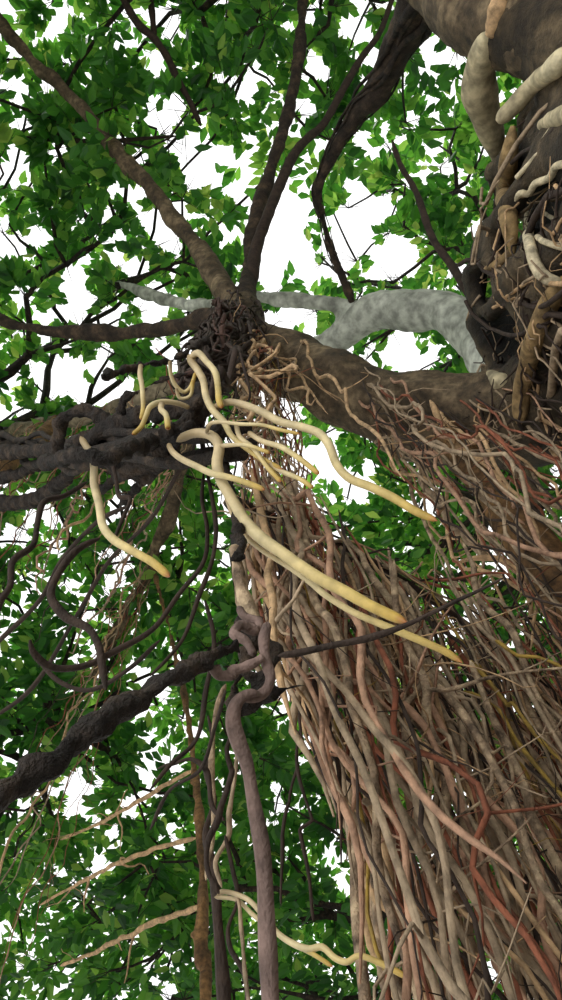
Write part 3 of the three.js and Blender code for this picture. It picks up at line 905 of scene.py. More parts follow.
darkWood = {
    "armUpper": {
        "pixels": [(-34, 422), (-16, 440), (0, 452), (30, 451), (58, 449), (76, 452), (93, 456),
                   (110, 456), (126, 450), (149, 443), (169, 436), (192, 428)],
        "away": (3.2, 2.0, 1.52, 1.27, 1.08, 0.92), "thick": (60, 44, 33, 28, 25, 22),
    },
    "armLower": {
        "pixels": [(-36, 415), (-44, 455), (-24, 480), (0, 478), (24, 472), (45, 462), (62, 459)],
        "away": (3.45, 2.75, 2.1, 1.7), "thick": (54, 48, 34, 20),
    },
    "armFront": {
        "pixels": [(44, 463), (62, 459), (78, 455), (94, 458), (110, 457), (128, 450), (152, 443)],
        "away": (1.3, 0.86, 0.82, 0.84, 0.98), "thick": (22, 17, 16, 16, 20),
    },
    "armCoil": {
        "pixels": [(78, 446), (96, 440), (112, 448), (128, 440), (146, 450), (170, 446), (184, 438)],
        "away": (1.36, 1.2, 0.96), "thick": (14, 13, 10),
    },
    "arch": {
        "pixels": [(56, 452), (59, 440), (61, 426), (67, 417), (75, 413), (93, 412), (104, 417),
                   (116, 422)],
        "away": (1.35, 1.2), "thick": (24, 24, 18),
    },
    "upperLimb": {
        "pixels": [(80, 446), (97, 433), (116, 420), (143, 411), (166, 406), (190, 402)],
        "away": (1.3, 0.98), "thick": (26, 18, 14),
    },
    "upperTwin": {
        "pixels": [(88, 440), (120, 428), (140, 420), (160, 416), (186, 412), (200, 400)],
        "away": (1.25, 0.96), "thick": (20, 15, 14),
    },
    "spur": {
        "pixels": [(121, 412), (124, 404), (127, 396), (143, 390), (163, 380), (192, 372)],
        "away": (1.08, 1.0), "thick": (11, 9, 8),
    },
    "stump": {
        "pixels": [(101, 376), (112, 373), (130, 368), (150, 364), (168, 362), (190, 350), (206, 338)],
        "away": (1.0, 1.3), "thick": (13, 12, 14),
    },
    "farArm": {
        "pixels": [(-38, 388), (-64, 446), (-48, 494), (0, 503), (28, 501), (52, 490), (68, 474),
                   (76, 458)],
        "away": (3.7, 3.1, 2.6, 2.05, 1.6), "thick": (70, 64, 56, 40, 26),
    },
    "knotMass": {
        "pixels": [(172, 438), (152, 454), (136, 466), (118, 478), (98, 492)],
        "away": (1.02, 1.3), "thick": (26, 30, 12),
    },
    "knotMassTwin": {
        "pixels": [(180, 446), (162, 462), (150, 476), (132, 492), (116, 512)],
        "away": (1.05, 1.3), "thick": (18, 18, 8),
    },
    "knotBelt": {
        "pixels": [(90, 462), (112, 466), (134, 458), (156, 462), (176, 452)],
        "away": (1.3, 1.04), "thick": (12, 20, 12),
    },
    "knotHead": {
        "pixels": [(166, 432), (182, 426), (196, 414), (200, 398), (198, 380)],
        "away": (0.93, 1.05), "thick": (26, 22, 14),
    },
    "diagonal": {
        "pixels": [(-70, 862), (-20, 818), (0, 800), (60, 755), (105, 722), (150, 692), (205, 658),
                   (240, 640)],
        "away": (0.42, 0.47, 0.6), "thick": (6, 17, 17, 15, 12),
    },
    "diagonalTwin": {
        "pixels": [(60, 752), (100, 716), (160, 682), (200, 664), (246, 652)],
        "away": (0.5, 0.6), "thick": (7, 9, 7),
    },
    "chain": {
        "pixels": [(214, 436), (222, 462), (234, 505), (240, 536), (237, 560)],
        "away": (0.95, 0.7), "thick": (9, 12, 11),
    },
    "clusterA": {
        "pixels": [(238, 618), (250, 632), (268, 640), (276, 655), (270, 680), (256, 700), (244, 706)],
        "away": (0.68, 0.6), "thick": (10, 12, 9),
    },
    "clusterB": {
        "pixels": [(230, 728), (238, 712), (252, 700), (270, 692), (290, 686), (307, 682)],
        "away": (0.6, 0.6), "thick": (6, 10, 5),
    },
    "clusterC": {
        "pixels": [(262, 622), (250, 648), (238, 676), (232, 704), (238, 740)],
        "away": (0.66, 0.62), "thick": (8, 12, 8),
    },
    "clusterD": {
        "pixels": [(216, 672), (232, 668), (250, 676), (270, 664)],
        "away": (0.62, 0.62), "thick": (6, 10, 7),
    },
}

thinDark = {
    "bendLeft": {
        "pixels": [(87, 482), (64, 496), (44, 502), (38, 520), (33, 545), (13, 561), (10, 586), (0, 602),
                   (-12, 640)],
        "away": (1.45, 1.2), "thick": (10, 11, 12),
    },
    "bendLow": {
        "pixels": [(100, 538), (77, 550), (57, 576), (51, 596), (66, 617), (89, 629), (99, 647),
                   (102, 665), (106, 690)],
        "away": (1.0, 0.85), "thick": (8, 11, 8),
    },
    "hook": {
        "pixels": [(30, 640), (33, 652), (51, 667), (84, 666), (117, 650), (153, 629), (179, 594),
                   (204, 561), (207, 527), (202, 500), (204, 470)],
        "away": (0.86, 0.95), "thick": (9, 6, 5),
    },
    "beside": {
        "pixels": [(150, 676), (168, 658), (184, 637), (199, 596), (212, 561), (216, 530), (212, 497),
                   (206, 468)],
        "away": (0.85, 0.95), "thick": (4, 6, 5),
    },
    "kinked": {
        "pixels": [(110, 460), (113, 467), (116, 479), (120, 497), (130, 498), (122, 520), (114, 540)],
        "away": (1.05, 0.95), "thick": (6, 6, 5),
    },
    "across": {
        "pixels": [(38, 660), (60, 682), (90, 690), (130, 668), (160, 640)],
        "away": (1.0, 0.9), "thick": (6, 5),
    },
    "drop": {
        "pixels": [(205, 600), (214, 640), (206, 690), (196, 740), (170, 765), (150, 790)],
        "away": (0.9, 0.8), "thick": (5, 6, 4),
    },
    "left": {
        "pixels": [(-16, 656), (0, 640), (40, 600), (62, 560), (100, 520), (130, 505)],
        "away": (1.5, 1.2), "thick": (9, 8, 7),
    },
    "leftLow": {
        "pixels": [(-10, 720), (30, 690), (80, 610), (110, 560), (150, 520), (190, 450)],
        "away": (1.6, 1.1), "thick": (9, 7, 6),
    },
    "fanThin": {
        "pixels": [(250, 296), (256, 249), (268, 215), (281, 182), (295, 153), (308, 138), (322, 126),
                   (346, 84), (362, 57), (379, 34), (392, 0), (400, -20)],
        "away": (3.85, 4.3, 4.8, 5.2, 5.6), "thick": (70, 62, 52, 42, 30),
    },
    "hangingOver": {
        "pixels": [(392, 140), (400, 164), (416, 192), (433, 239), (452, 266), (477, 307), (501, 337)],
        "away": (3.9, 3.4, 2.9), "thick": (24, 34, 38),
    },
    "farUpper": {
        "pixels": [(118, -20), (125, 2), (140, 26), (153, 37), (166, 55), (177, 78), (190, 102),
                   (201, 126)],
        "away": (6.0, 5.6), "thick": (52, 50, 34),
    },
    "farUpperFork": {
        "pixels": [(148, -20), (151, 4), (153, 22), (154, 38)],
        "away": (6.0, 5.9), "thick": (44, 40),
    },
    "farLevel": {
        "pixels": [(20, 138), (60, 140), (110, 141), (150, 138), (176, 136)],
        "away": (6.2, 5.9), "thick": (30, 32, 22),
    },
    "wire": {
        "pixels": [(150, 830), (170, 790), (200, 770), (214, 730), (226, 690)],
        "away": (0.9, 0.75), "thick": (4, 4),
    },
    "upper": {
        "pixels": [(205, 350), (214, 372), (210, 398), (202, 428), (206, 470)],
        "away": (1.05, 0.95), "thick": (7, 8, 6),
    },
    "upperTwin": {
        "pixels": [(240, 352), (245, 372), (250, 395), (244, 410)],
        "away": (1.5, 1.4), "thick": (6, 5),
    },
}

# stems close to the camera and in the curtains, with the kind of each and how crooked it is, in metres
nearStems = {
    "blurred": {
        "kind": "curtainMauve",
        "pixels": [(262, 694), (248, 694), (236, 704), (233, 722), (238, 742), (246, 764), (252, 800),
                   (262, 860), (267, 930), (272, 1030)],
        "away": (0.57, 0.53), "thick": (8, 11, 11, 11, 13), "crook": 0.0008,
    },
    "blurredTop": {
        "kind": "curtainMauve",
        "pixels": [(268, 622), (264, 640), (267, 662), (272, 680), (266, 692), (254, 698), (242, 698)],
        "away": (0.6, 0.57), "thick": (7, 8.5, 9, 8), "crook": 0.0008,
    },
    "mauve": {
        "kind": "curtainMauve",
        "pixels": [(213, 666), (220, 675), (236, 672), (250, 666), (264, 656)],
        "away": (0.58, 0.58), "thick": (8, 9, 8), "crook": 0.0008,
    },
    "mauveLoop": {
        "kind": "curtainMauve",
        "pixels": [(238, 606), (244, 616), (258, 622), (256, 630), (240, 626), (234, 634), (246, 642),
                   (254, 656)],
        "away": (0.66, 0.62), "thick": (7, 9, 7), "crook": 0.001,
    },
    "crackedStub": {
        "kind": "curtainCracked",
        "pixels": [(234, 545), (237, 562), (240, 586), (246, 604), (254, 620), (256, 634)],
        "away": (0.72, 0.66), "thick": (11, 13, 12), "crook": 0.001,
    },
    "nearTwig": {
        "kind": "curtainGrey",
        "pixels": [(304, 580), (294, 598), (284, 610), (276, 622)],
        "away": (0.62, 0.62), "thick": (2.5, 3.2, 4.5), "crook": 0.001,
    },
    "crossing": {
        "kind": "curtainDark",
        "pixels": [(278, 656), (300, 652), (330, 645), (370, 637), (406, 625), (455, 602), (480, 590),
                   (505, 577)],
        "away": (0.56, 0.55), "thick": (6, 5.5, 4, 2), "crook": 0.001,
    },
    "twistA": {
        "kind": "curtainDark",
        "pixels": [(157, 769), (176, 764), (194, 762), (208, 773), (213, 807), (225, 821)],
        "away": (0.86, 0.8), "thick": (3, 5.5, 5), "crook": 0.003,
    },
    "twistB": {
        "kind": "curtainDark",
        "pixels": [(236, 712), (230, 756), (222, 821), (210, 843), (208, 869), (219, 894)],
        "away": (0.82, 0.76), "thick": (5, 6, 6), "crook": 0.003,
    },
    "twistD": {
        "kind": "curtainDark",
        "pixels": [(225, 835), (233, 869), (239, 897), (230, 928), (244, 981), (246, 1030)],
        "away": (0.8, 0.74), "thick": (4, 4.5, 4), "crook": 0.002,
    },
    "twistE": {
        "kind": "curtainGrey",
        "pixels": [(219, 890), (236, 897), (241, 930), (244, 960), (250, 1010)],
        "away": (0.78, 0.74), "thick": (3, 4, 4), "crook": 0.002,
    },
    "twistF": {
        "kind": "curtainGrey",
        "pixels": [(238, 740), (236, 770), (231, 805), (224, 838), (214, 862), (222, 888)],
        "away": (0.84, 0.78), "thick": (4, 5, 4), "crook": 0.003,
    },
    "twistG": {
        "kind": "curtainDark",
        "pixels": [(208, 715), (212, 740), (206, 770), (214, 800), (206, 835), (216, 880), (220, 940),
                   (226, 1030)],
        "away": (0.95, 0.85), "thick": (5, 7, 12, 13), "crook": 0.003,
    },
    "twistC": {
        "kind": "curtainCracked",
        "pixels": [(226, 684), (217, 706), (212, 735), (209, 770), (212, 830), (206, 880)],
        "away": (0.9, 0.8), "thick": (6, 7, 5),
    },
    "knobbly": {
        "kind": "curtainCracked",
        "pixels": [(394, 560), (393, 593), (398, 619), (408, 649), (424, 685), (426, 712), (434, 761),
                   (440, 830), (446, 910), (453, 1030)],
        "away": (1.08, 0.74), "thick": (8.5, 13.5, 13.5),
    },
    "pink": {
        "kind": "curtainPink",
        "pixels": [(350, 640), (373, 675), (388, 695), (413, 716), (431, 736), (444, 767), (460, 796),
                   (477, 838), (487, 900), (492, 950), (530, 1010)],
        "away": (1.0, 0.74), "thick": (7, 9, 8),
    },
    "straight": {
        "kind": "curtainCracked",
        "pixels": [(336, 630), (340, 660), (350, 685), (357, 710), (355, 749), (351, 800), (349, 862),
                   (357, 930), (368, 1030)],
        "away": (0.98, 0.76), "thick": (7, 10.5, 11),
    },
    "straightFork": {
        "kind": "curtainTan",
        "pixels": [(350, 855), (372, 892), (400, 930), (418, 970), (434, 1030)],
        "away": (0.92, 0.8), "thick": (8, 10),
    },
    "greyThin": {
        "kind": "curtainGrey",
        "pixels": [(432, 668), (444, 695), (465, 705), (472, 726), (475, 751), (485, 782), (496, 812),
                   (520, 900), (548, 1010)],
        "away": (1.15, 0.9), "thick": (6, 9, 9),
    },
    "speckled": {
        "kind": "curtainCracked",
        "pixels": [(470, 660), (495, 726), (505, 746), (521, 782), (538, 828), (570, 890)],
        "away": (1.1, 0.95), "thick": (8, 12, 12),
    },
    "smooth": {
        "kind": "curtainGrey",
        "pixels": [(292, 470), (296, 491), (304, 522), (327, 550), (342, 583), (347, 634), (344, 680)],
        "away": (1.2, 1.0), "thick": (8, 7, 6),
    },
    "farBend": {
        "kind": "curtainGrey",
        "pixels": [(418, 440), (424, 468), (425, 484), (439, 501), (449, 524), (475, 545), (486, 560)],
        "away": (2.3, 2.0), "thick": (18, 24, 20),
    },
    "farArch": {
        "kind": "curtainTan",
        "pixels": [(455, 566), (465, 560), (495, 557), (516, 565), (526, 588), (540, 640)],
        "away": (1.7, 1.6), "thick": (12, 14, 12),
    },
    "farLine": {
        "kind": "curtainTan",
        "pixels": [(430, 400), (452, 440), (490, 470), (520, 520), (545, 560), (575, 600)],
        "away": (2.3, 1.8), "thick": (20, 18, 16),
    },
    "hangA": {
        "kind": "curtainDark",
        "pixels": [(300, 728), (297, 775), (306, 830), (312, 870), (313, 922)],
        "away": (1.0, 0.9), "thick": (4, 5, 4),
    },
    "hangB": {
        "kind": "curtainDark",
        "pixels": [(299, 764), (284, 806), (287, 850), (281, 905)],
        "away": (1.0, 0.9), "thick": (4, 5, 3),
    },
    "inner": {
        "kind": "curtainGrey",
        "pixels": [(402, 775), (416, 812), (433, 848), (448, 884), (464, 909), (476, 960), (492, 1020)],
        "away": (1.0, 0.85), "thick": (8, 10, 9),
    },
    "innerBend": {
        "kind": "curtainTan",
        "pixels": [(360, 740), (372, 763), (390, 800), (406, 832), (441, 859), (470, 900)],
        "away": (1.0, 0.9), "thick": (7, 9, 7),
    },
    "acrossLow": {
        "kind": "curtainPink",
        "pixels": [(300, 655), (320, 672), (343, 684), (366, 688), (392, 712)],
        "away": (0.98, 0.92), "thick": (8, 7, 5),
    },
    "acrossDark": {
        "kind": "curtainGrey",
        "pixels": [(362, 800), (378, 806), (404, 811), (420, 830)],
        "away": (0.9, 0.88), "thick": (8, 7, 5),
    },
    # side roots of the stem behind
    "sideLow": {
        "kind": "curtainTan",
        "pixels": [(200, 906), (188, 911), (160, 920), (130, 934), (95, 952), (60, 966)],
        "away": (3.5, 4.1, 5.0), "thick": (26, 24, 16),
    },
    "sideMiddle": {
        "kind": "curtainTan",
        "pixels": [(194, 770), (176, 779), (155, 792), (130, 806), (98, 824), (60, 840)],
        "away": (3.9, 4.4, 5.4), "thick": (24, 22, 14),
    },
    "sideHigh": {
        "kind": "curtainTan",
        "pixels": [(196, 838), (165, 846), (121, 862), (100, 872), (75, 885), (40, 905)],
        "away": (3.7, 4.2, 5.2), "thick": (24, 22, 14),
    },
    "yellowA": {
        "kind": "curtainYellow",
        "pixels": [(495, 640), (520, 655), (545, 664), (575, 676)],
        "away": (1.2, 1.15), "thick": (6, 5),
    },
    "yellowB": {
        "kind": "curtainYellow",
        "pixels": [(470, 660), (500, 690), (530, 728), (560, 760)],
        "away": (1.25, 1.1), "thick": (7, 6),
    },
    "yellowC": {
        "kind": "curtainYellow",
        "pixels": [(460, 690), (492, 705), (520, 745), (566, 800)],
        "away": (1.2, 1.05), "thick": (5, 6),
    },
}


youngShape = {"steps": 66, "sides": 12, "lumps": 0.05, "seed": 61}


# young roots end in a blunt tip; `along` tells their skin how far each point is from where it started
def makeYoungRoots():
    rng = np.random.default_rng(youngShape["seed"])
    steps, sides = youngShape["steps"], youngShape["sides"]
    strands = []
    shares = []
    for root in youngRoots.values():
        line, radii = sightStrand(root, rng, steps=steps, lumps=youngShape["lumps"])
        radii[-3:] *= (0.9, 0.65, 0.01)
        radii[:2] *= (0.01, 0.7)
        strands.append((line, radii))
        shares.append(np.repeat(np.linspace(0, 1, steps), sides))
    mesh = tubeMesh("youngRoots", strands, sides=sides, caps=False)
    along = np.concatenate(shares)
    mesh.attributes.new("along", "FLOAT", "POINT").data.foreach_set("value", along.astype(np.float32))
    addPiece("youngRoots", mesh, youngRoot, "root_bark")


woodShape = {
    "steps": 60,
    "voxel": 0.0055,
    "relief": [(0.03, 0.006), (0.012, 0.006)],
    "twined": 7,  # roots that make up the slanting one
    "twinedThickness": 0.36,
    "seed": 62,
}


def makeDarkWood():
    rng = np.random.default_rng(woodShape["seed"])
    steps = woodShape["steps"]
    strands = [sightStrand(root, rng, steps=steps, lumps=0.16) for root in darkWood.values()]
    mesh = fusedMesh(tubeMesh("knotWood", strands, sides=10), woodShape["voxel"], 1)
    roughen(mesh, woodShape["relief"])
    mesh.shade_smooth()
    addPiece("knotWood", mesh, darkBark, "root_bark", "root_slanting")
    twined = []
    slanted = twinedStrands(rng, "root_slanting", woodShape["twined"], thickness=woodShape["twinedThickness"])
    for line, radii in slanted:
        knots = rng.random(twineSteps // 3)
        lumpy = 1 + 0.5 * np.interp(np.arange(twineSteps), np.arange(0, twineSteps, 3), knots)
        twined.append((line + crook(rng, twineSteps, 4.5, 0.011, spacing=0.16), radii * lumpy))
    slanting = tubeMesh("slantingRoot", twined, sides=10)
    addPiece("slantingRoot", slanting, darkBark, "root_bark", "root_slanting")
    thin = [sightStrand(root, rng, steps=steps, lumps=0.12) for root in thinDark.values()]
    for line, radii in thin:
        radii[:4] *= (0.3, 0.6, 0.8, 0.93)
        radii[-4:] *= (0.93, 0.8, 0.6, 0.3)
    addPiece("thinDarkRoots", tubeMesh("thinDarkRoots", thin, sides=8), darkRoot, "root_bark")
    print("knot wood", len(mesh.polygons), "faces")


# The tangle of roots that hangs from the branching point and thins out towards the knot
tangle = {
    "path": [(-1.52, 0.02, 5.1), (-1.56, 0.06, 4.4), (-1.59, 0.08, 3.2), (-1.58, 0.08, 2.5)],
    "steps": 90,
    "strands": 95,
    "radius": (0.002, 0.007),
    "width": (0.12, 0.02),  # at the top, and what is left of it at the knot
    "coils": (0.2, 1.2),
    "rusty": 0.1,  # share of rust-coloured roots
    "seed": 63,
}


def makeTangle():
    rng = np.random.default_rng(tangle["seed"])
    axis = smoothPath(tangle["path"], tangle["steps"])
    last = tangle["steps"] - 1
    dark = []
    rusty = []
    for i in range(tangle["strands"]):
        start = int(rng.uniform(0, tangle["steps"] / 2) * rng.random())
        stop = int(rng.uniform(start + 22, last))
        line = axis[start:stop + 1].copy()
        share = np.linspace(start / last, stop / last, len(line))
        wide = tangle["width"][0] * (1 - share) ** 0.8 + tangle["width"][1]
        first = rng.uniform(0, 2 * math.pi)
        turn = first + share * rng.uniform(*tangle["coils"]) * rng.choice((-1, 1)) * 4
        line[:, 0] += np.cos(turn) * wide * rng.uniform(0.4, 1)
        line[:, 1] += np.sin(turn) * wide * rng.uniform(0.4, 1)
        line += crook(rng, len(line), pathLength(line), 0.018)
        radii = np.full(len(line), rng.uniform(*tangle["radius"]))
        radii[-3:] *= (0.8, 0.6, 0.3)
        (rusty if rng.random() < tangle["rusty"] else dark).append((line, radii))
    addPiece("tangleDark", tubeMesh("tangleDark", dark, sides=6), darkRoot, "root_bark", "root_bundle")
    addPiece("tangleRusty", tubeMesh("tangleRusty", rusty, sides=6), dullRustRoot, "root_bark", "root_bundle")


makeYoungRoots()
makeDarkWood()
makeTangle()
print("nearest roots made")


# Smooth roots that lie on the trunk's near side, found by sighting each pixel on the trunk. "sunk" is how
# deep their middle lies in it, in radii; below zero, how far it stands out.

nearSide = {
    "bulge": {
        "bark": "pale",
        "pixels": [(491, 30), (483, 56), (479, 88), (488, 122), (497, 152), (504, 182)],
        "thick": (40, 90, 110, 95, 55, 30), "sunk": 0.3,
    },
    "olive": {
        "bark": "tan",
        "pixels": [(504, -8), (497, 14), (491, 38)],
        "thick": (60, 55, 36), "sunk": 0.2,
    },
    "slant": {
        "bark": "pale",
        "pixels": [(497, 122), (512, 108), (532, 86), (556, 66), (570, 50)],
        "thick": (46, 48, 56), "sunk": -0.5,
    },
    "column": {
        "bark": "orange",
        "pixels": [(513, 126), (509, 158), (506, 190), (509, 222), (513, 254)],
        "thick": (50, 66, 70, 62, 44), "sunk": -2.8,
    },
    "spur": {
        "bark": "orange",
        "pixels": [(514, 250), (500, 262), (485, 270)],
        "thick": (30, 26, 18), "sunk": -0.6,
    },
    "zigzag": {
        "bark": "white",
        "pixels": [(515, 201), (521, 193), (528, 194), (535, 184), (549, 178), (557, 166), (570, 164)],
        "thick": (17, 20, 20), "sunk": -2.5,
    },
    "bend": {
        "bark": "white",
        "pixels": [(527, 211), (529, 228), (530, 245), (535, 263), (543, 276), (556, 282), (575, 284)],
        "thick": (26, 29, 31), "sunk": -2.2,
    },
    "lower": {
        "bark": "orange",
        "pixels": [(570, 276), (558, 290), (547, 308), (537, 331), (529, 360), (522, 392), (519, 424)],
        "thick": (50, 52, 54, 50), "sunk": -1.0,
    },
    "knob": {
        "bark": "pale",
        "pixels": [(540, 126), (552, 120), (576, 112)],
        "thick": (24, 46, 50), "sunk": -0.1,
    },
    "twigA": {
        "bark": "white",
        "pixels": [(540, 210), (552, 218), (572, 228)],
        "thick": (14, 16), "sunk": -1,
    },
    "twigB": {
        "bark": "white",
        "pixels": [(536, 236), (548, 243), (572, 250)],
        "thick": (14, 16), "sunk": -1,
    },
    "ledge": {
        "bark": "pale",
        "pixels": [(440, 392), (462, 384), (485, 378), (505, 384)],
        "thick": (30, 50, 60), "sunk": 0,
    },
}


nearSideShape = {
    "steps": 50,
    "sides": 16,
    "lumps": 0.05,
    "away": 2.4,  # m, for a root that misses the trunk
    "seed": 64,
}


# how far away the trunk is along each line of sight; past its edge, as far as the edge was
def trunkDistance(pixels):
    found = []
    for pixel in pixels:
        hit = trunkSurface.ray_cast(Vector(camera["place"]), Vector(sightLine(pixel)))
        found.append(hit[3])
    known = [i for i, distance in enumerate(found) if distance is not None]
    if not known:
        return np.full(len(found), nearSideShape["away"])
    return np.interp(np.arange(len(found)), known, [found[i] for i in known])


# thin roots that cling to the trunk
clinging = {
    "count": 165,
    "corners": ((478, 185), (590, 440)),  # of the part of the photo that they are in
    "length": (0.08, 0.3),
    "radius": (0.002, 0.0065),
    "reach": 0.035,  # how far from the bark they stray, m
    "kinds": {
        "clingTan": {"bark": tanRoot, "share": 0.3},
        "clingDark": {"bark": darkRoot, "share": 0.45},
        "clingGrey": {"bark": greyRoot, "share": 0.25},
    },
    "seed": 66,
}


def heldToTrunk(line):
    held = line.copy()
    for i, point in enumerate(line):
        near, normal = trunkSurface.find_nearest(Vector(point))[:2]
        side = np.array(point) - np.array(near)
        height = float(side @ np.array(normal))
        held[i] = np.array(near) + np.array(normal) * min(max(height, 0), clinging["reach"])
    return held


def makeClinging():
    rng = np.random.default_rng(clinging["seed"])
    kinds = clinging["kinds"]
    names = list(kinds)
    chances = [kinds[name]["share"] for name in names]
    clung = {name: [] for name in names}
    for i in range(clinging["count"]):
        pixel = rng.uniform(*clinging["corners"])
        distance = trunkSurface.ray_cast(Vector(camera["place"]), Vector(sightLine(pixel)))[3]
        if distance is None:
            continue
        start = sightPoint(pixel, distance - 0.005)
        radius = rng.uniform(*clinging["radius"])
        name = rng.choice(names, p=chances)
        line, radii = curlingRoot(rng, start, rng.uniform(*clinging["length"]), radius, fall=0.5)
        clung[name].append((heldToTrunk(line), radii))
    for name in names:
        addPiece(name, tubeMesh(name, clung[name], sides=6), kinds[name]["bark"], "bark")


def makeNearSide():
    rng = np.random.default_rng(nearSideShape["seed"])
    steps = nearSideShape["steps"]
    finishes = {"pale": paleBark, "tan": tanRoot, "orange": orangeRoot, "white": paleRoot}
    for finish, bark in finishes.items():
        strands = []
        for root in nearSide.values():
            if root["bark"] != finish:
                continue
            mean = sum(root["thick"]) / len(root["thick"]) / 2000
            away = trunkDistance(root["pixels"]) + mean * root["sunk"]
            points = [sightPoint(pixel, distance) for pixel, distance in zip(root["pixels"], away)]
            radii = rootRadii(root["thick"], steps)
            radii[:4] *= (0.3, 0.62, 0.82, 0.94)
            radii[-4:] *= (0.94, 0.82, 0.62, 0.3)
            wave = np.sin(np.linspace(0, 1, steps) * 21 + rng.uniform(0, 6))
            strands.append((smoothPath(points, steps), radii * (1 + nearSideShape["lumps"] * wave)))
        name = "nearSide" + finish.capitalize()
        addPiece(name, tubeMesh(name, strands, sides=nearSideShape["sides"]), bark, "bark")


makeNearSide()
makeClinging()
print("roots on the near side of the trunk")


# Curtains of hanging roots

# "stretch" is the part of its bough that a curtain hangs from, "push" how far its roots drift on X and Y, and
# "drop" how far down they reach, in metres
curtains = {
    "overA": {
        "solid": "root_curtain_over_a", "bough": "bough_over", "stretch": (0.08, 0.52), "count": 130,
        "push": (-0.03, 0.3), "drop": (1.2, 3.1),
    },
    "overB": {
        "solid": "root_curtain_over_b", "bough": "bough_over", "stretch": (0.5, 0.95), "count": 130,
        "push": (-0.08, 0.42), "drop": (0.9, 2.6),
    },
    "frontA": {
        "step": 0.06, "solid": "root_curtain_front_a", "bough": "bough_front_left",
        "stretch": (0.18, 0.34), "count": 70, "push": (0, 0), "drop": (1.2, 3.4),
    },
    "frontB": {
        "step": 0.06, "solid": "root_curtain_front_b", "bough": "bough_front_left",
        "stretch": (0.36, 0.55), "count": 60, "push": (0, 0), "drop": (0.9, 2.8),
    },
    "right": {
        "step": 0.06, "solid": "root_curtain_right", "bough": "bough_right", "stretch": (0.3, 0.52),
        "count": 60, "push": (0, 0), "drop": (0.7, 2.5),
    },
    "rearRight": {
        "step": 0.06, "solid": "root_curtain_rear_right", "bough": "bough_rear_right",
        "stretch": (0.3, 0.48), "count": 55, "push": (0, 0), "drop": (0.6, 2.2),
    },
    "rear": {
        "step": 0.06, "solid": "root_curtain_rear", "bough": "bough_rear", "stretch": (0.55, 0.7),
        "count": 45, "push": (0, 0), "drop": (0.6, 2.1),
    },
    # too thin to have solids
    "innerFront": {
        "bough": "bough_inner_front", "stretch": (0.05, 0.6), "count": 75, "push": (-0.1, -0.1),
        "drop": (0.8, 3.4),
    },
    "greyLong": {
        "bough": "bough_grey_long", "stretch": (0.2, 0.95), "count": 45, "push": (0, 0.35),
        "drop": (0.7, 3.3),
    },
}

# thicknesses and how often each colour of root hangs in a curtain
curtainKinds = {
    "curtainTan": {"bark": tanRoot, "share": 0.2, "radius": (0.002, 0.0058)},
    "curtainGrey": {"bark": greyRoot, "share": 0.22, "radius": (0.002, 0.0055)},
    "curtainRust": {"bark": rustRoot, "share": 0.17, "radius": (0.0015, 0.004)},
    "curtainPink": {"bark": pinkRoot, "share": 0.1, "radius": (0.002, 0.0048)},
    "curtainDark": {"bark": darkRoot, "share": 0.25, "radius": (0.0012, 0.0032)},
    "curtainCracked": {"bark": crackedRoot, "share": 0.05, "radius": (0.004, 0.0065)},
    "curtainYellow": {"bark": yellowRoot, "share": 0.01, "radius": (0.0015, 0.0025)},
    "curtainMauve": {"bark": mauveRoot, "share": 0.0, "radius": (0.002, 0.005)},
}

# Nearer than the overhead curtain, roots also hang from a thin root that runs from the bundle to the trunk
rail = {
    "pixels": [(232, 500), (262, 512), (300, 528), (345, 548), (390, 572), (440, 606), (500, 650),
               (560, 700), (640, 760)],
    "away": (1.2, 1.45, 1.8),
    "thick": (10, 14, 22),
    "steps": 120,
    "roots": 300,
    "drop": (0.4, 1.5),
    "push": (0.04, 0.3),
    "curls": 190,
    "curlLength": (0.08, 0.34),
    "curlRadius": (0.0013, 0.0035),
    "curlKinds": ["curtainDark", "curtainRust", "curtainTan", "curtainGrey"],
}

# parts of the photo where leaves show between the hanging roots: pixel and radius in pixels
rootGaps = [(345, 478, 26), (378, 512, 34), (412, 542, 20), (318, 458, 14), (503, 585, 8), (548, 470, 9),
            (556, 545, 8)]
# the curtain's edge in the photo, in pixels
curtainEdge = {
    "across": [234, 233, 238, 256, 277, 287, 300, 314, 328, 342, 362],
    "down": [500, 560, 640, 680, 700, 730, 750, 775, 800, 870, 1000],
    "top": 520,  # above this, roots may cross it
    "bottom": 1050,
    "left": 150,  # roots further left than this are not the curtain's
    "widest": 9,  # that a hanging root looks
}
pictureMargin = 50
hanging = {
    "step": 0.045,  # metres between the points of a root, unless its curtain says otherwise
    "fewest": 7,  # points, in a root cut off at the curtain's edge
    "stemSteps": 110,
    "seed": 41,
}


def inGap(across, down, shown):
    return any(np.any((np.hypot(across - x, down - y) < radius) & shown) for x, y, radius in rootGaps)


def crossesGap(line):
    across, down, depth = pictureSpots(line)
    right = camera["image"][0] + pictureMargin
    shown = (depth > 0.1) & (across > -pictureMargin) & (across < right) & (down < curtainEdge["bottom"])
    edge = np.interp(down, curtainEdge["down"], curtainEdge["across"])
    if np.any((across < edge) & (across > curtainEdge["left"]) & shown & (down > curtainEdge["top"])):
        return True
    return inGap(across, down, shown)


# a root that would cross the curtain's edge ends there
def cutAtEdge(line, radii):
    across, down, depth = pictureSpots(line)
    edge = np.interp(down, curtainEdge["down"], curtainEdge["across"])
    outside = (across < edge) & (depth > 0.1) & (down > curtainEdge["top"]) & (down < curtainEdge["bottom"])
    stop = int(np.argmax(outside)) if outside.any() else len(line)
    if 3 < stop < len(line):
        radii[stop - 3:stop] *= (0.8, 0.55, 0.25)
    return line[:stop], radii[:stop]


# no hanging root looks wider in the photo than the widest one there
def keepSlim(line, radii):
    depth = pictureSpots(line)[2]
    return np.minimum(radii, np.maximum(depth, 0.55) * curtainEdge["widest"] / 2 / focalLength())


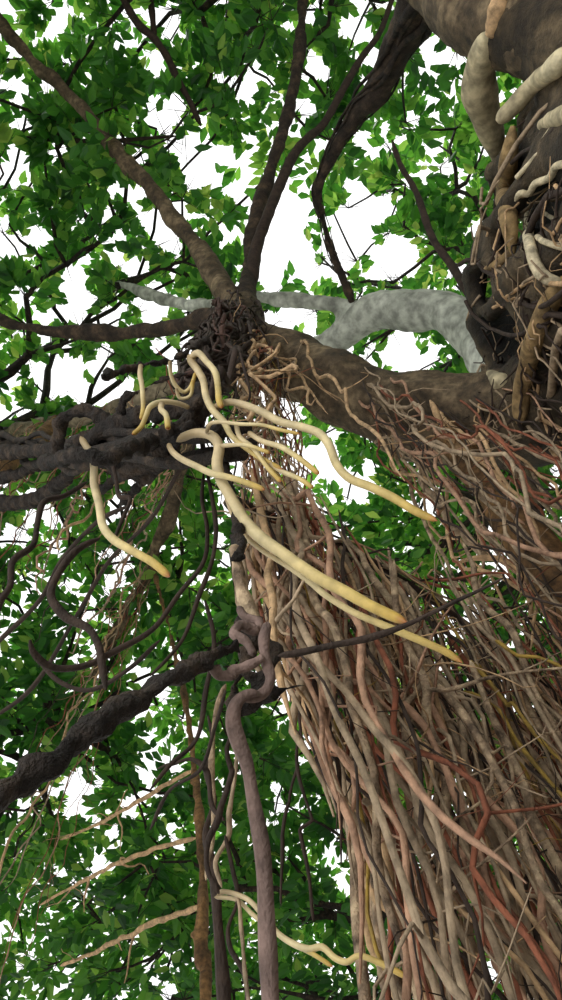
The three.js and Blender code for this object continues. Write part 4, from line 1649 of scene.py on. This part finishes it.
# one root that hangs, drifts outwards and tapers to its tip
def hangingRoot(rng, top, drift, drop, radius, kinks=0.012, step=0.031):
    count = max(10, int(drop / step))
    down = np.linspace(0, 1, count)
    line = np.empty((count, 3))
    line[:, 0] = top[0] + drift[0] * down**0.8
    line[:, 1] = top[1] + drift[1] * down**0.8
    line[:, 2] = top[2] - drop * down
    loose = np.minimum(down * 6, 1)[:, None]
    line += sway(rng, count, drop, kinks, longest=0.7, waves=4) * loose * (1, 1, 0.3)
    line += crook(rng, count, drop, kinks * 1.1, spacing=0.09) * loose
    knots = 2 + int(drop * 18)
    lumpy = 1 + 0.35 * np.interp(down, np.linspace(0, 1, knots), rng.random(knots))
    radii = radius * lumpy * (1 - 0.4 * down)
    radii[:3] *= (0.4, 0.7, 0.9)
    radii[-4:] *= (0.9, 0.75, 0.5, 0.2)
    line[:, 2] = np.maximum(line[:, 2], 0.01)
    return line, radii


# side roots all along a hanging one
def sideRoots(rng, line, radii, spacing=0.45):
    made = []
    for i in range(int(pathLength(line) / spacing)):
        spot = int(rng.uniform(0.12, 0.9) * (len(line) - 1))
        length = rng.uniform(0.05, 0.22)
        made.append(curlingRoot(rng, line[spot], length, radii[spot] * rng.uniform(0.35, 0.7)))
    return made


def kindOfRoot(rng):
    kinds = list(curtainKinds)
    return rng.choice(kinds, p=[curtainKinds[kind]["share"] for kind in kinds])


# a root's place on the underside of a bough
def hangingPlace(rng, line, radii, stretch):
    spot = rng.uniform(*stretch) * (len(line) - 1)
    low = int(spot)
    across = rng.uniform(-1, 1)
    heading = line[min(low + 1, len(line) - 1)] - line[low]
    side = np.array([-heading[1], heading[0], 0]) / np.linalg.norm(heading[:2])
    top = line[low] + (line[low + 1] - line[low]) * (spot - low) + side * across * radii[low] * 0.9
    top[2] -= radii[low] * math.sqrt(1 - across**2) * 0.8
    return top


def hangFromBoughs(rng, hung, curls):
    for curtain in curtains.values():
        line, radii = boughStrands[curtain["bough"]]
        for i in range(curtain["count"]):
            top = hangingPlace(rng, line, radii, curtain["stretch"])
            drift = np.array(curtain["push"]) * rng.uniform(0.1, 1.25) + rng.normal(0, 0.04, 2)
            kind = kindOfRoot(rng)
            drop = curtain["drop"][0] + (curtain["drop"][1] - curtain["drop"][0]) * rng.beta(1.6, 1.1)
            radius = rng.uniform(*curtainKinds[kind]["radius"])
            strand = hangingRoot(rng, top, drift, drop, radius, kinks=rng.uniform(0.006, 0.02),
                                 step=curtain.get("step", hanging["step"]))
            if not crossesGap(strand[0]):
                hung[kind].append((strand[0], keepSlim(*strand)))
                if "step" not in curtain:
                    curls[kind] += sideRoots(rng, *hung[kind][-1], spacing=0.8)


def hangFromRail(rng, hung, curls):
    steps = rail["steps"]
    line, radii = sightStrand(rail, rng, steps=steps)
    hung["curtainDark"].append((line, radii))
    hung["curtainGrey"].append((line + crook(rng, steps, 1.5, 0.02), radii * 0.6))
    for i in range(rail["roots"]):
        # most of them at its start
        top = line[int(1 + (steps - 2) * rng.random()**1.35)] + rng.normal(0, 0.05, 3)
        drift = np.array(rail["push"]) * rng.uniform(0.3, 1.3) + rng.normal(0, 0.04, 2)
        kind = kindOfRoot(rng)
        radius = rng.uniform(*curtainKinds[kind]["radius"])
        drop = rng.uniform(*rail["drop"])
        strand = cutAtEdge(*hangingRoot(rng, top, drift, drop, radius, kinks=rng.uniform(0.008, 0.018)))
        if len(strand[0]) > hanging["fewest"] and not crossesGap(strand[0]):
            hung[kind].append((strand[0], keepSlim(*strand)))
            curls[kind] += sideRoots(rng, *hung[kind][-1], spacing=0.3)
    for i in range(rail["curls"]):
        kind = rng.choice(rail["curlKinds"])
        start = line[int(rng.uniform(2, steps - 1))] + rng.normal(0, 0.03, 3)
        length = rng.uniform(*rail["curlLength"])
        curls[kind].append(curlingRoot(rng, start, length, rng.uniform(*rail["curlRadius"]), 0.1))


def addStems(rng, hung, curls):
    steps = hanging["stemSteps"]
    held = np.sin(np.linspace(0, math.pi, steps))[:, None]
    for stem in nearStems.values():
        line, radii = sightStrand(stem, rng, steps=steps, lumps=0.2)
        line += crook(rng, steps, pathLength(line), stem.get("crook", 0.005), spacing=0.05) * held
        radii[:4] *= (0.2, 0.5, 0.75, 0.9)
        radii[-4:] *= (0.9, 0.75, 0.5, 0.2)
        hung[stem["kind"]].append((line, radii))
        curls[stem["kind"]] += sideRoots(rng, line, radii, spacing=0.25)


def makeCurtains():
    rng = np.random.default_rng(hanging["seed"])
    hung = {kind: [] for kind in curtainKinds}
    curls = {kind: [] for kind in curtainKinds}
    hangFromBoughs(rng, hung, curls)
    hangFromRail(rng, hung, curls)
    addStems(rng, hung, curls)
    solids = [curtain["solid"] for curtain in curtains.values() if "solid" in curtain]
    for kind in curtainKinds:
        bark = curtainKinds[kind]["bark"]
        addPiece(kind, tubeMesh(kind, hung[kind], sides=6), bark, "root_bark", *solids)
        side = kind + "Side"
        kept = [curl for curl in curls[kind] if not crossesGap(curl[0])]
        if kept:
            addPiece(side, tubeMesh(side, kept, sides=4), bark, "root_bark")
        print(kind, len(hung[kind]), "roots", len(kept), "side roots")


makeCurtains()


# Crown: limbs, twigs and leaves grown from the bough ends through each mass

crown = {
    "sprays": 232,  # in a mass of the usual size
    "usualSize": 42,  # of the box round a mass, m3
    "spacing": 0.34,
    "shell": (0.18, 0.6),  # depth of the leafy shell, m
    "inside": 0.3,  # share of the sprays below the shell that are kept
    "detour": 0.35,  # how much a longer way back to the bough counts against a limb
    "forkLoad": 12,  # limbs that carry more sprays than this can start the next mass
    "skyShare": {"clumps": 0.8, "masses": 0.72, "leaves": 0.82},  # how much of each sky window stays open
    "limbRadius": (0.0035, 0.0043),  # of the thinnest, and what grows with the sprays that a limb carries
    "limbWander": 0.012,
    "twigletsPerSpray": 5,
    "twigletLength": (0.2, 0.36),
    "twigletRadius": 0.004,
    "leavesPerTwiglet": 10,
    "leafLength": (0.092, 0.13),
    "leafWidth": 0.54,  # as a share of the length
    "boxMargin": 0.01,  # how far inside the CAD's box the leaves stay
    "strays": 0.6,  # share of leaves that are not of their spray's green
    "raggedness": (22, 1.1),  # of a sky window's edge: size of its bumps in pixels, and strength
    "pinholes": 500,
    "pinholeSize": (5, 9.5),  # radius in the photo, pixels
    "pinholeCluster": (4, 9),  # how many to a cluster, and how far apart in pixels
    "pinholesHigh": 0.75,  # share in the upper half of the photo
    "pinholeSeed": 71,
    "seed": 51,
}

# inner masses first, because the outer ones grow on from their limbs
massOrder = ["crown_inner_left", "crown_inner_rear", "crown_top", "crown_inner_front", "crown_inner_right",
             "crown_left", "crown_left_rear", "crown_rear_left", "crown_rear", "crown_rear_right",
             "crown_right", "crown_front_right", "crown_front", "crown_front_left", "crown_left_front"]

# patches of open sky in the photo: pixel and radius in pixels
skyWindows = [(165, 20, 22), (157, 62, 13), (170, 115, 22), (188, 150, 25), (202, 176, 18), (165, 230, 34),
              (222, 158, 14), (243, 186, 16), (232, 80, 17), (252, 72, 12), (318, 65, 17), (350, 18, 24),
              (308, 108, 18), (295, 205, 16), (362, 215, 31), (385, 262, 25), (340, 262, 22), (308, 270, 20),
              (70, 280, 20), (88, 300, 18), (108, 314, 23), (150, 311, 23), (185, 318, 14), (20, 90, 18),
              (45, 85, 17), (290, 320, 34), (60, 378, 30), (106, 388, 29), (400, 352, 28), (430, 362, 18),
              (265, 392, 18), (350, 485, 15), (332, 452, 11), (372, 470, 12), (410, 505, 13), (75, 785, 18),
              (72, 808, 13), (142, 708, 8), (455, 60, 14), (430, 75, 12), (420, 120, 12), (480, 232, 14),
              (455, 270, 12), (8, 175, 12), (35, 240, 13), (105, 215, 12), (60, 25, 12), (12, 50, 10),
              (266, 212, 12), (300, 252, 21), (335, 246, 23), (365, 240, 20), (352, 188, 12), (374, 272, 14),
              (74, 312, 16), (105, 347, 13), (160, 346, 13), (130, 266, 14), (222, 380, 14), (345, 345, 16)]

leafKinds = {
    "leavesDeep": {"face": "#1e4322", "through": "#4c942b", "share": 0.22},
    "leavesDark": {"face": "#264f26", "through": "#5ba533", "share": 0.22},
    "leavesMid": {"face": "#31612c", "through": "#70ba39", "share": 0.22},
    "leavesFresh": {"face": "#407533", "through": "#8ccc45", "share": 0.18},
    "leavesLight": {"face": "#558e3c", "through": "#a6da55", "share": 0.11},
    "leavesYellow": {"face": "#79a347", "through": "#c4e064", "share": 0.05},
}


# whether points fall in a sky window; the windows have ragged edges
def openSky(points, share):
    across, down, depth = pictureSpots(points)
    ahead = depth > 0.5
    size, strength = crown["raggedness"]
    spots = np.column_stack([across, down, depth * 0]) / size
    ragged = np.ones(len(points))
    ragged[ahead] = [1 + strength * noise.noise(spot) for spot in spots[ahead].tolist()]
    inside = np.zeros(len(points), bool)
    for x, y, radius in skyWindows:
        inside |= (np.hypot(across - x, down - y) < radius * share * ragged) & ahead
    return inside


# whether points fall in one of the many small holes between the leaves
def pinholes(points):
    rng = np.random.default_rng(crown["pinholeSeed"])
    across, down, depth = pictureSpots(points)
    inside = np.zeros(len(points), bool)
    each, apart = crown["pinholeCluster"]
    for i in range(crown["pinholes"]):
        if i % each == 0:
            x = rng.uniform(-20, 582)
            y = rng.uniform(-20, 560) if rng.random() < crown["pinholesHigh"] else rng.uniform(560, 1010)
        x += rng.normal(0, apart)
        y += rng.normal(0, apart)
        radius = rng.uniform(*crown["pinholeSize"])
        inside |= (np.hypot(across - x, down - y) < radius) & (depth > 0.5)
    return inside


# leafy spots that close the gaps between the masses overhead: middle, half sizes and number of sprays
clumps = {
    "overZenith": {"middle": (-1.5, -0.85, 7.5), "half": (1.1, 1.0, 0.55), "sprays": 30},
    "overFront": {"middle": (-2.1, 1.5, 7.1), "half": (1.2, 1.1, 0.6), "sprays": 46},
    "leftFront": {"middle": (-3.0, 2.5, 6.9), "half": (1.1, 1.1, 0.7), "sprays": 44},
    "right": {"middle": (4.2, 1.2, 6.9), "half": (1.2, 0.8, 0.6), "sprays": 34},
    "rearRight": {"middle": (2.6, -2.9, 6.9), "half": (1.2, 0.8, 0.6), "sprays": 34},
}


def clumpPoints(clump, rng):
    tries = np.array(clump["middle"]) + rng.uniform(-1, 1, (clump["sprays"] * 3, 3)) * clump["half"]
    kept = tries[~openSky(tries, crown["skyShare"]["clumps"])]
    return kept[:clump["sprays"]], np.array(clump["middle"])


def massPoints(name, rng):
    mesh = cadNodes[name].data
    tree = BVHTree.FromPolygons([v.co for v in mesh.vertices], [p.vertices for p in mesh.polygons])
    low, high = (np.array(corner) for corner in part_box(name))
    centre = (low + high) / 2
    wanted = int(crown["sprays"] * np.prod(high - low) / crown["usualSize"])
    kept = np.empty((0, 3))
    tries = rng.uniform(low, high, (wanted * 40, 3))
    tries = tries[~openSky(tries, crown["skyShare"]["masses"])]
    for spot in tries:
        near, normal, _, depth = tree.find_nearest(Vector(spot))
        inside = (Vector(spot) - near).dot(normal) < 0
        if not inside or depth < crown["shell"][0]:
            continue
        if depth > crown["shell"][1] and rng.random() > crown["inside"]:
            continue
        if len(kept) and np.min(np.linalg.norm(kept - spot, axis=1)) < crown["spacing"]:
            continue
        kept = np.vstack([kept, spot])
        if len(kept) >= wanted:
            break
    return kept, centre


# joins each spray to the nearest grown limb, so that limbs fork as they spread
def growLimbs(start, sprays):
    order = np.argsort(np.linalg.norm(sprays - start, axis=1))
    places = [start]
    parents = [-1]
    travelled = [0.0]
    for spot in sprays[order]:
        gaps = np.linalg.norm(np.array(places) - spot, axis=1)
        best = int(np.argmin(gaps + crown["detour"] * np.array(travelled)))
        places.append(spot)
        parents.append(best)
        travelled.append(travelled[best] + gaps[best])
    return np.array(places), np.array(parents)


def limbStrands(places, parents, rng):
    count = len(places)
    load = np.ones(count)
    for i in range(count - 1, 0, -1):
        load[parents[i]] += load[i]
    radii = crown["limbRadius"][0] + crown["limbRadius"][1] * load**0.5
    heaviest = {}
    for i in range(1, count):
        best = heaviest.get(parents[i])
        if best is None or load[i] > load[best]:
            heaviest[parents[i]] = i
    strands = []
    for i in range(1, count):
        if i != 1 and heaviest[parents[i]] == i:
            continue  # carried on by its parent's strand
        chain = [parents[i], i]
        while chain[-1] in heaviest:
            chain.append(heaviest[chain[-1]])
        line = smoothPath(places[chain], 2 * (len(chain) - 1) + 2)
        line[1:-1] += rng.normal(0, crown["limbWander"], (len(line) - 2, 3))
        wide = np.interp(np.linspace(0, 1, len(line)), np.linspace(0, 1, len(chain)), radii[chain])
        wide[0] = wide[1]
        strands.append((line, wide))
    return strands, load


# twiglets that fan out from a spray's end, mostly away from the limb and a little up
def sprayTwiglets(sprays, heading, rng):
    count = crown["twigletsPerSpray"]
    base = np.repeat(sprays, count, axis=0)
    aim = np.repeat(heading, count, axis=0)
    scatter = rng.normal(0, 1, base.shape)
    direction = unit(aim * 0.7 + scatter * 0.75 + (0, 0, 0.12))
    length = rng.uniform(*crown["twigletLength"], (len(base), 1))
    return base, direction, length


def leafArrays(base, direction, length, rng):
    count = crown["leavesPerTwiglet"]
    share = np.tile(np.linspace(0.25, 1.02, count), len(base))
    reach = np.repeat(direction * length, count, axis=0)
    root = np.repeat(base, count, axis=0) + reach * share[:, None]
    along = np.repeat(direction, count, axis=0)
    flip = np.tile(np.where(np.arange(count) % 2, 1.0, -1.0), len(base))[:, None]
    upward = unit(rng.normal(0, 0.45, along.shape) + (0, 0, 1))
    side = unit(np.cross(along, upward)) * flip
    aim = unit(along * 0.55 + side * rng.uniform(0.5, 1.1, side.shape[:1] + (1,)) + (0, 0, -0.22))
    face = unit(upward - aim * np.sum(upward * aim, axis=1, keepdims=True))
    cross = np.cross(face, aim)
    size = rng.uniform(*crown["leafLength"], (len(root), 1))
    wide = size * crown["leafWidth"] / 2
    points = [root + aim * size * (0.12 + a) + cross * wide * b + face * wide * c for a, b, c in leafOutline]
    return np.stack(points, axis=1)


# along the blade, across it, and how far it folds up
leafOutline = [(0.0, 0.0, 0.0), (0.32, 1.0, 0.22), (0.74, 0.66, 0.12), (1.06, 0.0, -0.1),
               (0.74, -0.66, 0.12), (0.32, -1.0, 0.22)]
leafFaces = np.array([(0, 1, 2), (0, 2, 3), (0, 3, 4), (0, 4, 5)])
twigletFaces = np.array([(0, 1, 3), (1, 2, 3), (2, 0, 3)])


def twigletArrays(base, direction, length):
    side = unit(np.cross(direction, (0.3, 0.2, 1)))
    other = np.cross(direction, side)
    wide = crown["twigletRadius"]
    ring = [base + (side * math.cos(a) + other * math.sin(a)) * wide for a in (0, 2.1, 4.2)]
    return np.stack([*ring, base + direction * length], axis=1)


def fitsInside(points):
    low, high = (np.array(corner) for corner in cadBox)
    corners = points.reshape(len(points), -1, 3)
    margin = crown["boxMargin"]
    return np.all((corners > low + margin) & (corners < high - margin), axis=(1, 2))


def makeCrown():
    rng = np.random.default_rng(crown["seed"])
    growthPoints = [strand[0][-1] for name, strand in boughStrands.items() if name != "bough_twisted"]
    limbs = []
    leaves = {kind: [] for kind in leafKinds}
    twiglets = []
    kinds = list(leafKinds)
    chances = [leafKinds[kind]["share"] for kind in kinds]
    for name in [*massOrder, *clumps]:
        sprays, centre = clumpPoints(clumps[name], rng) if name in clumps else massPoints(name, rng)
        gaps = [np.linalg.norm(point - centre) for point in growthPoints]
        start = growthPoints[int(np.argmin(gaps))]
        places, parents = growLimbs(start, sprays)
        strands, load = limbStrands(places, parents, rng)
        limbs += strands
        growthPoints += list(places[1:][load[1:] > crown["forkLoad"]])
        heading = unit(places[1:] - places[parents[1:]] + 0.35 * unit(places[1:] - centre))
        base, direction, length = sprayTwiglets(places[1:], heading, rng)
        twiglets.append(twigletArrays(base, direction, length))
        blades = leafArrays(base, direction, length, rng)
        # most leaves of a spray share its green, the others vary
        dealt = np.repeat(rng.choice(len(kinds), len(sprays), p=chances), len(blades) // len(sprays))
        strays = rng.random(len(blades)) < crown["strays"]
        dealt[strays] = rng.choice(len(kinds), int(strays.sum()), p=chances)
        for index, kind in enumerate(kinds):
            leaves[kind].append(blades[dealt == index])
        print(name, len(sprays), "sprays")
    return limbs, leaves, twiglets


def makeLeafPieces(leaves):
    for kind, batches in leaves.items():
        points = np.concatenate(batches)
        points = points[fitsInside(points)]
        centres = points.mean(axis=1)
        points = points[~(openSky(centres, crown["skyShare"]["leaves"]) | pinholes(centres))]
        starts = np.arange(len(points))[:, None, None] * 6
        mesh = arrayMesh(kind, points, leafFaces[None] + starts)
        material = figLeaf(kind + "Blade", leafKinds[kind]["face"], leafKinds[kind]["through"])
        addPiece(kind, mesh, material, "foliage", *massOrder)
        print(kind, len(points), "leaves")


def makeTwigPieces(limbs, twiglets):
    addPiece("crownLimbs", tubeMesh("crownLimbs", limbs, sides=4), darkBark, "bark")
    points = np.concatenate(twiglets)
    points = points[fitsInside(points)]
    starts = np.arange(len(points))[:, None, None] * 4
    addPiece("twiglets", arrayMesh("twiglets", points, twigletFaces[None] + starts), darkBark, "bark")
    print("limbs and twigs", len(limbs), len(points))


limbs, leaves, twiglets = makeCrown()
makeLeafPieces(leaves)
makeTwigPieces(limbs, twiglets)


# Floor and light

floorShape = {"radius": 45, "segments": 96, "colour": "#aeaca7", "below": 0.002}

light = {
    "overhead": "#ffffff",
    "horizon": "#bfbfbb",
    "overheadFrom": 0.42,  # height above the horizon, of 1, at which the sky is fully bright
    "skyStrength": 1.5,
    "sunStrength": 2.5,
    "sunAngle": 25,  # degrees across, so that its shadows are soft
    "sunTilt": (28, -24),  # degrees about X and Y
    "fillPower": 27,
    "fillSpread": 100,
    "fillSize": 2.5,
    "fillPlace": (-3.6, -2.4, 1.2),
    "fillAim": (-1.2, 0.3, 3.0),
}


def makeFloor():
    shape = bmesh.new()
    bmesh.ops.create_circle(shape, cap_ends=True, radius=floorShape["radius"],
                            segments=floorShape["segments"])
    mesh = bpy.data.meshes.new("floor")
    shape.to_mesh(mesh)
    shape.free()
    material, tree = newMaterial("matPaleFloor")
    surface = addNode(tree, "ShaderNodeBsdfPrincipled",
                      {"Base Color": hexColour(floorShape["colour"]), "Roughness": 0.9})
    addNode(tree, "ShaderNodeOutputMaterial", links={"Surface": surface.outputs["BSDF"]})
    mesh.materials.append(material)
    floor = bpy.data.objects.new("floor", mesh)
    floor.location.z = -floorShape["below"]
    scene.collection.objects.link(floor)


def makeLight():
    world = bpy.data.worlds.new("softSky")
    world.use_nodes = True
    tree = world.node_tree
    back = tree.nodes["Background"]
    back.inputs["Strength"].default_value = light["skyStrength"]
    # brightest overhead, so that the underside of the crown stays in shade
    facing = addNode(tree, "ShaderNodeTexCoord").outputs["Generated"]
    height = addNode(tree, "ShaderNodeSeparateXYZ", links={"Vector": facing})
    dome = addNode(tree, "ShaderNodeValToRGB", links={"Fac": height.outputs["Z"]})
    setRamp(dome, [(0.0, light["horizon"]), (light["overheadFrom"], light["overhead"])])
    tree.links.new(dome.outputs["Color"], back.inputs["Color"])
    scene.world = world
    sun = bpy.data.lights.new("softSun", "SUN")
    sun.energy = light["sunStrength"]
    sun.angle = math.radians(light["sunAngle"])
    holder = bpy.data.objects.new("softSun", sun)
    holder.rotation_euler = (*(math.radians(tilt) for tilt in light["sunTilt"]), 0)
    scene.collection.objects.link(holder)
    fill = bpy.data.lights.new("sideFill", "AREA")
    fill.energy = light["fillPower"]
    fill.size = light["fillSize"]
    fill.spread = math.radians(light["fillSpread"])
    lamp = bpy.data.objects.new("sideFill", fill)
    lamp.location = light["fillPlace"]
    aim = Vector(light["fillAim"]) - Vector(lamp.location)
    lamp.rotation_euler = aim.to_track_quat("-Z", "Y").to_euler()
    lamp.visible_camera = False
    scene.collection.objects.link(lamp)
    scene.view_settings.view_transform = "Standard"


makeFloor()
makeLight()
print("floor and light set")

count = 0
for piece in scene.objects:
    if piece.type == "MESH" and not piece.hide_render:
        count += len(piece.data.loops) - 2 * len(piece.data.polygons)
print("triangles shown:", count)
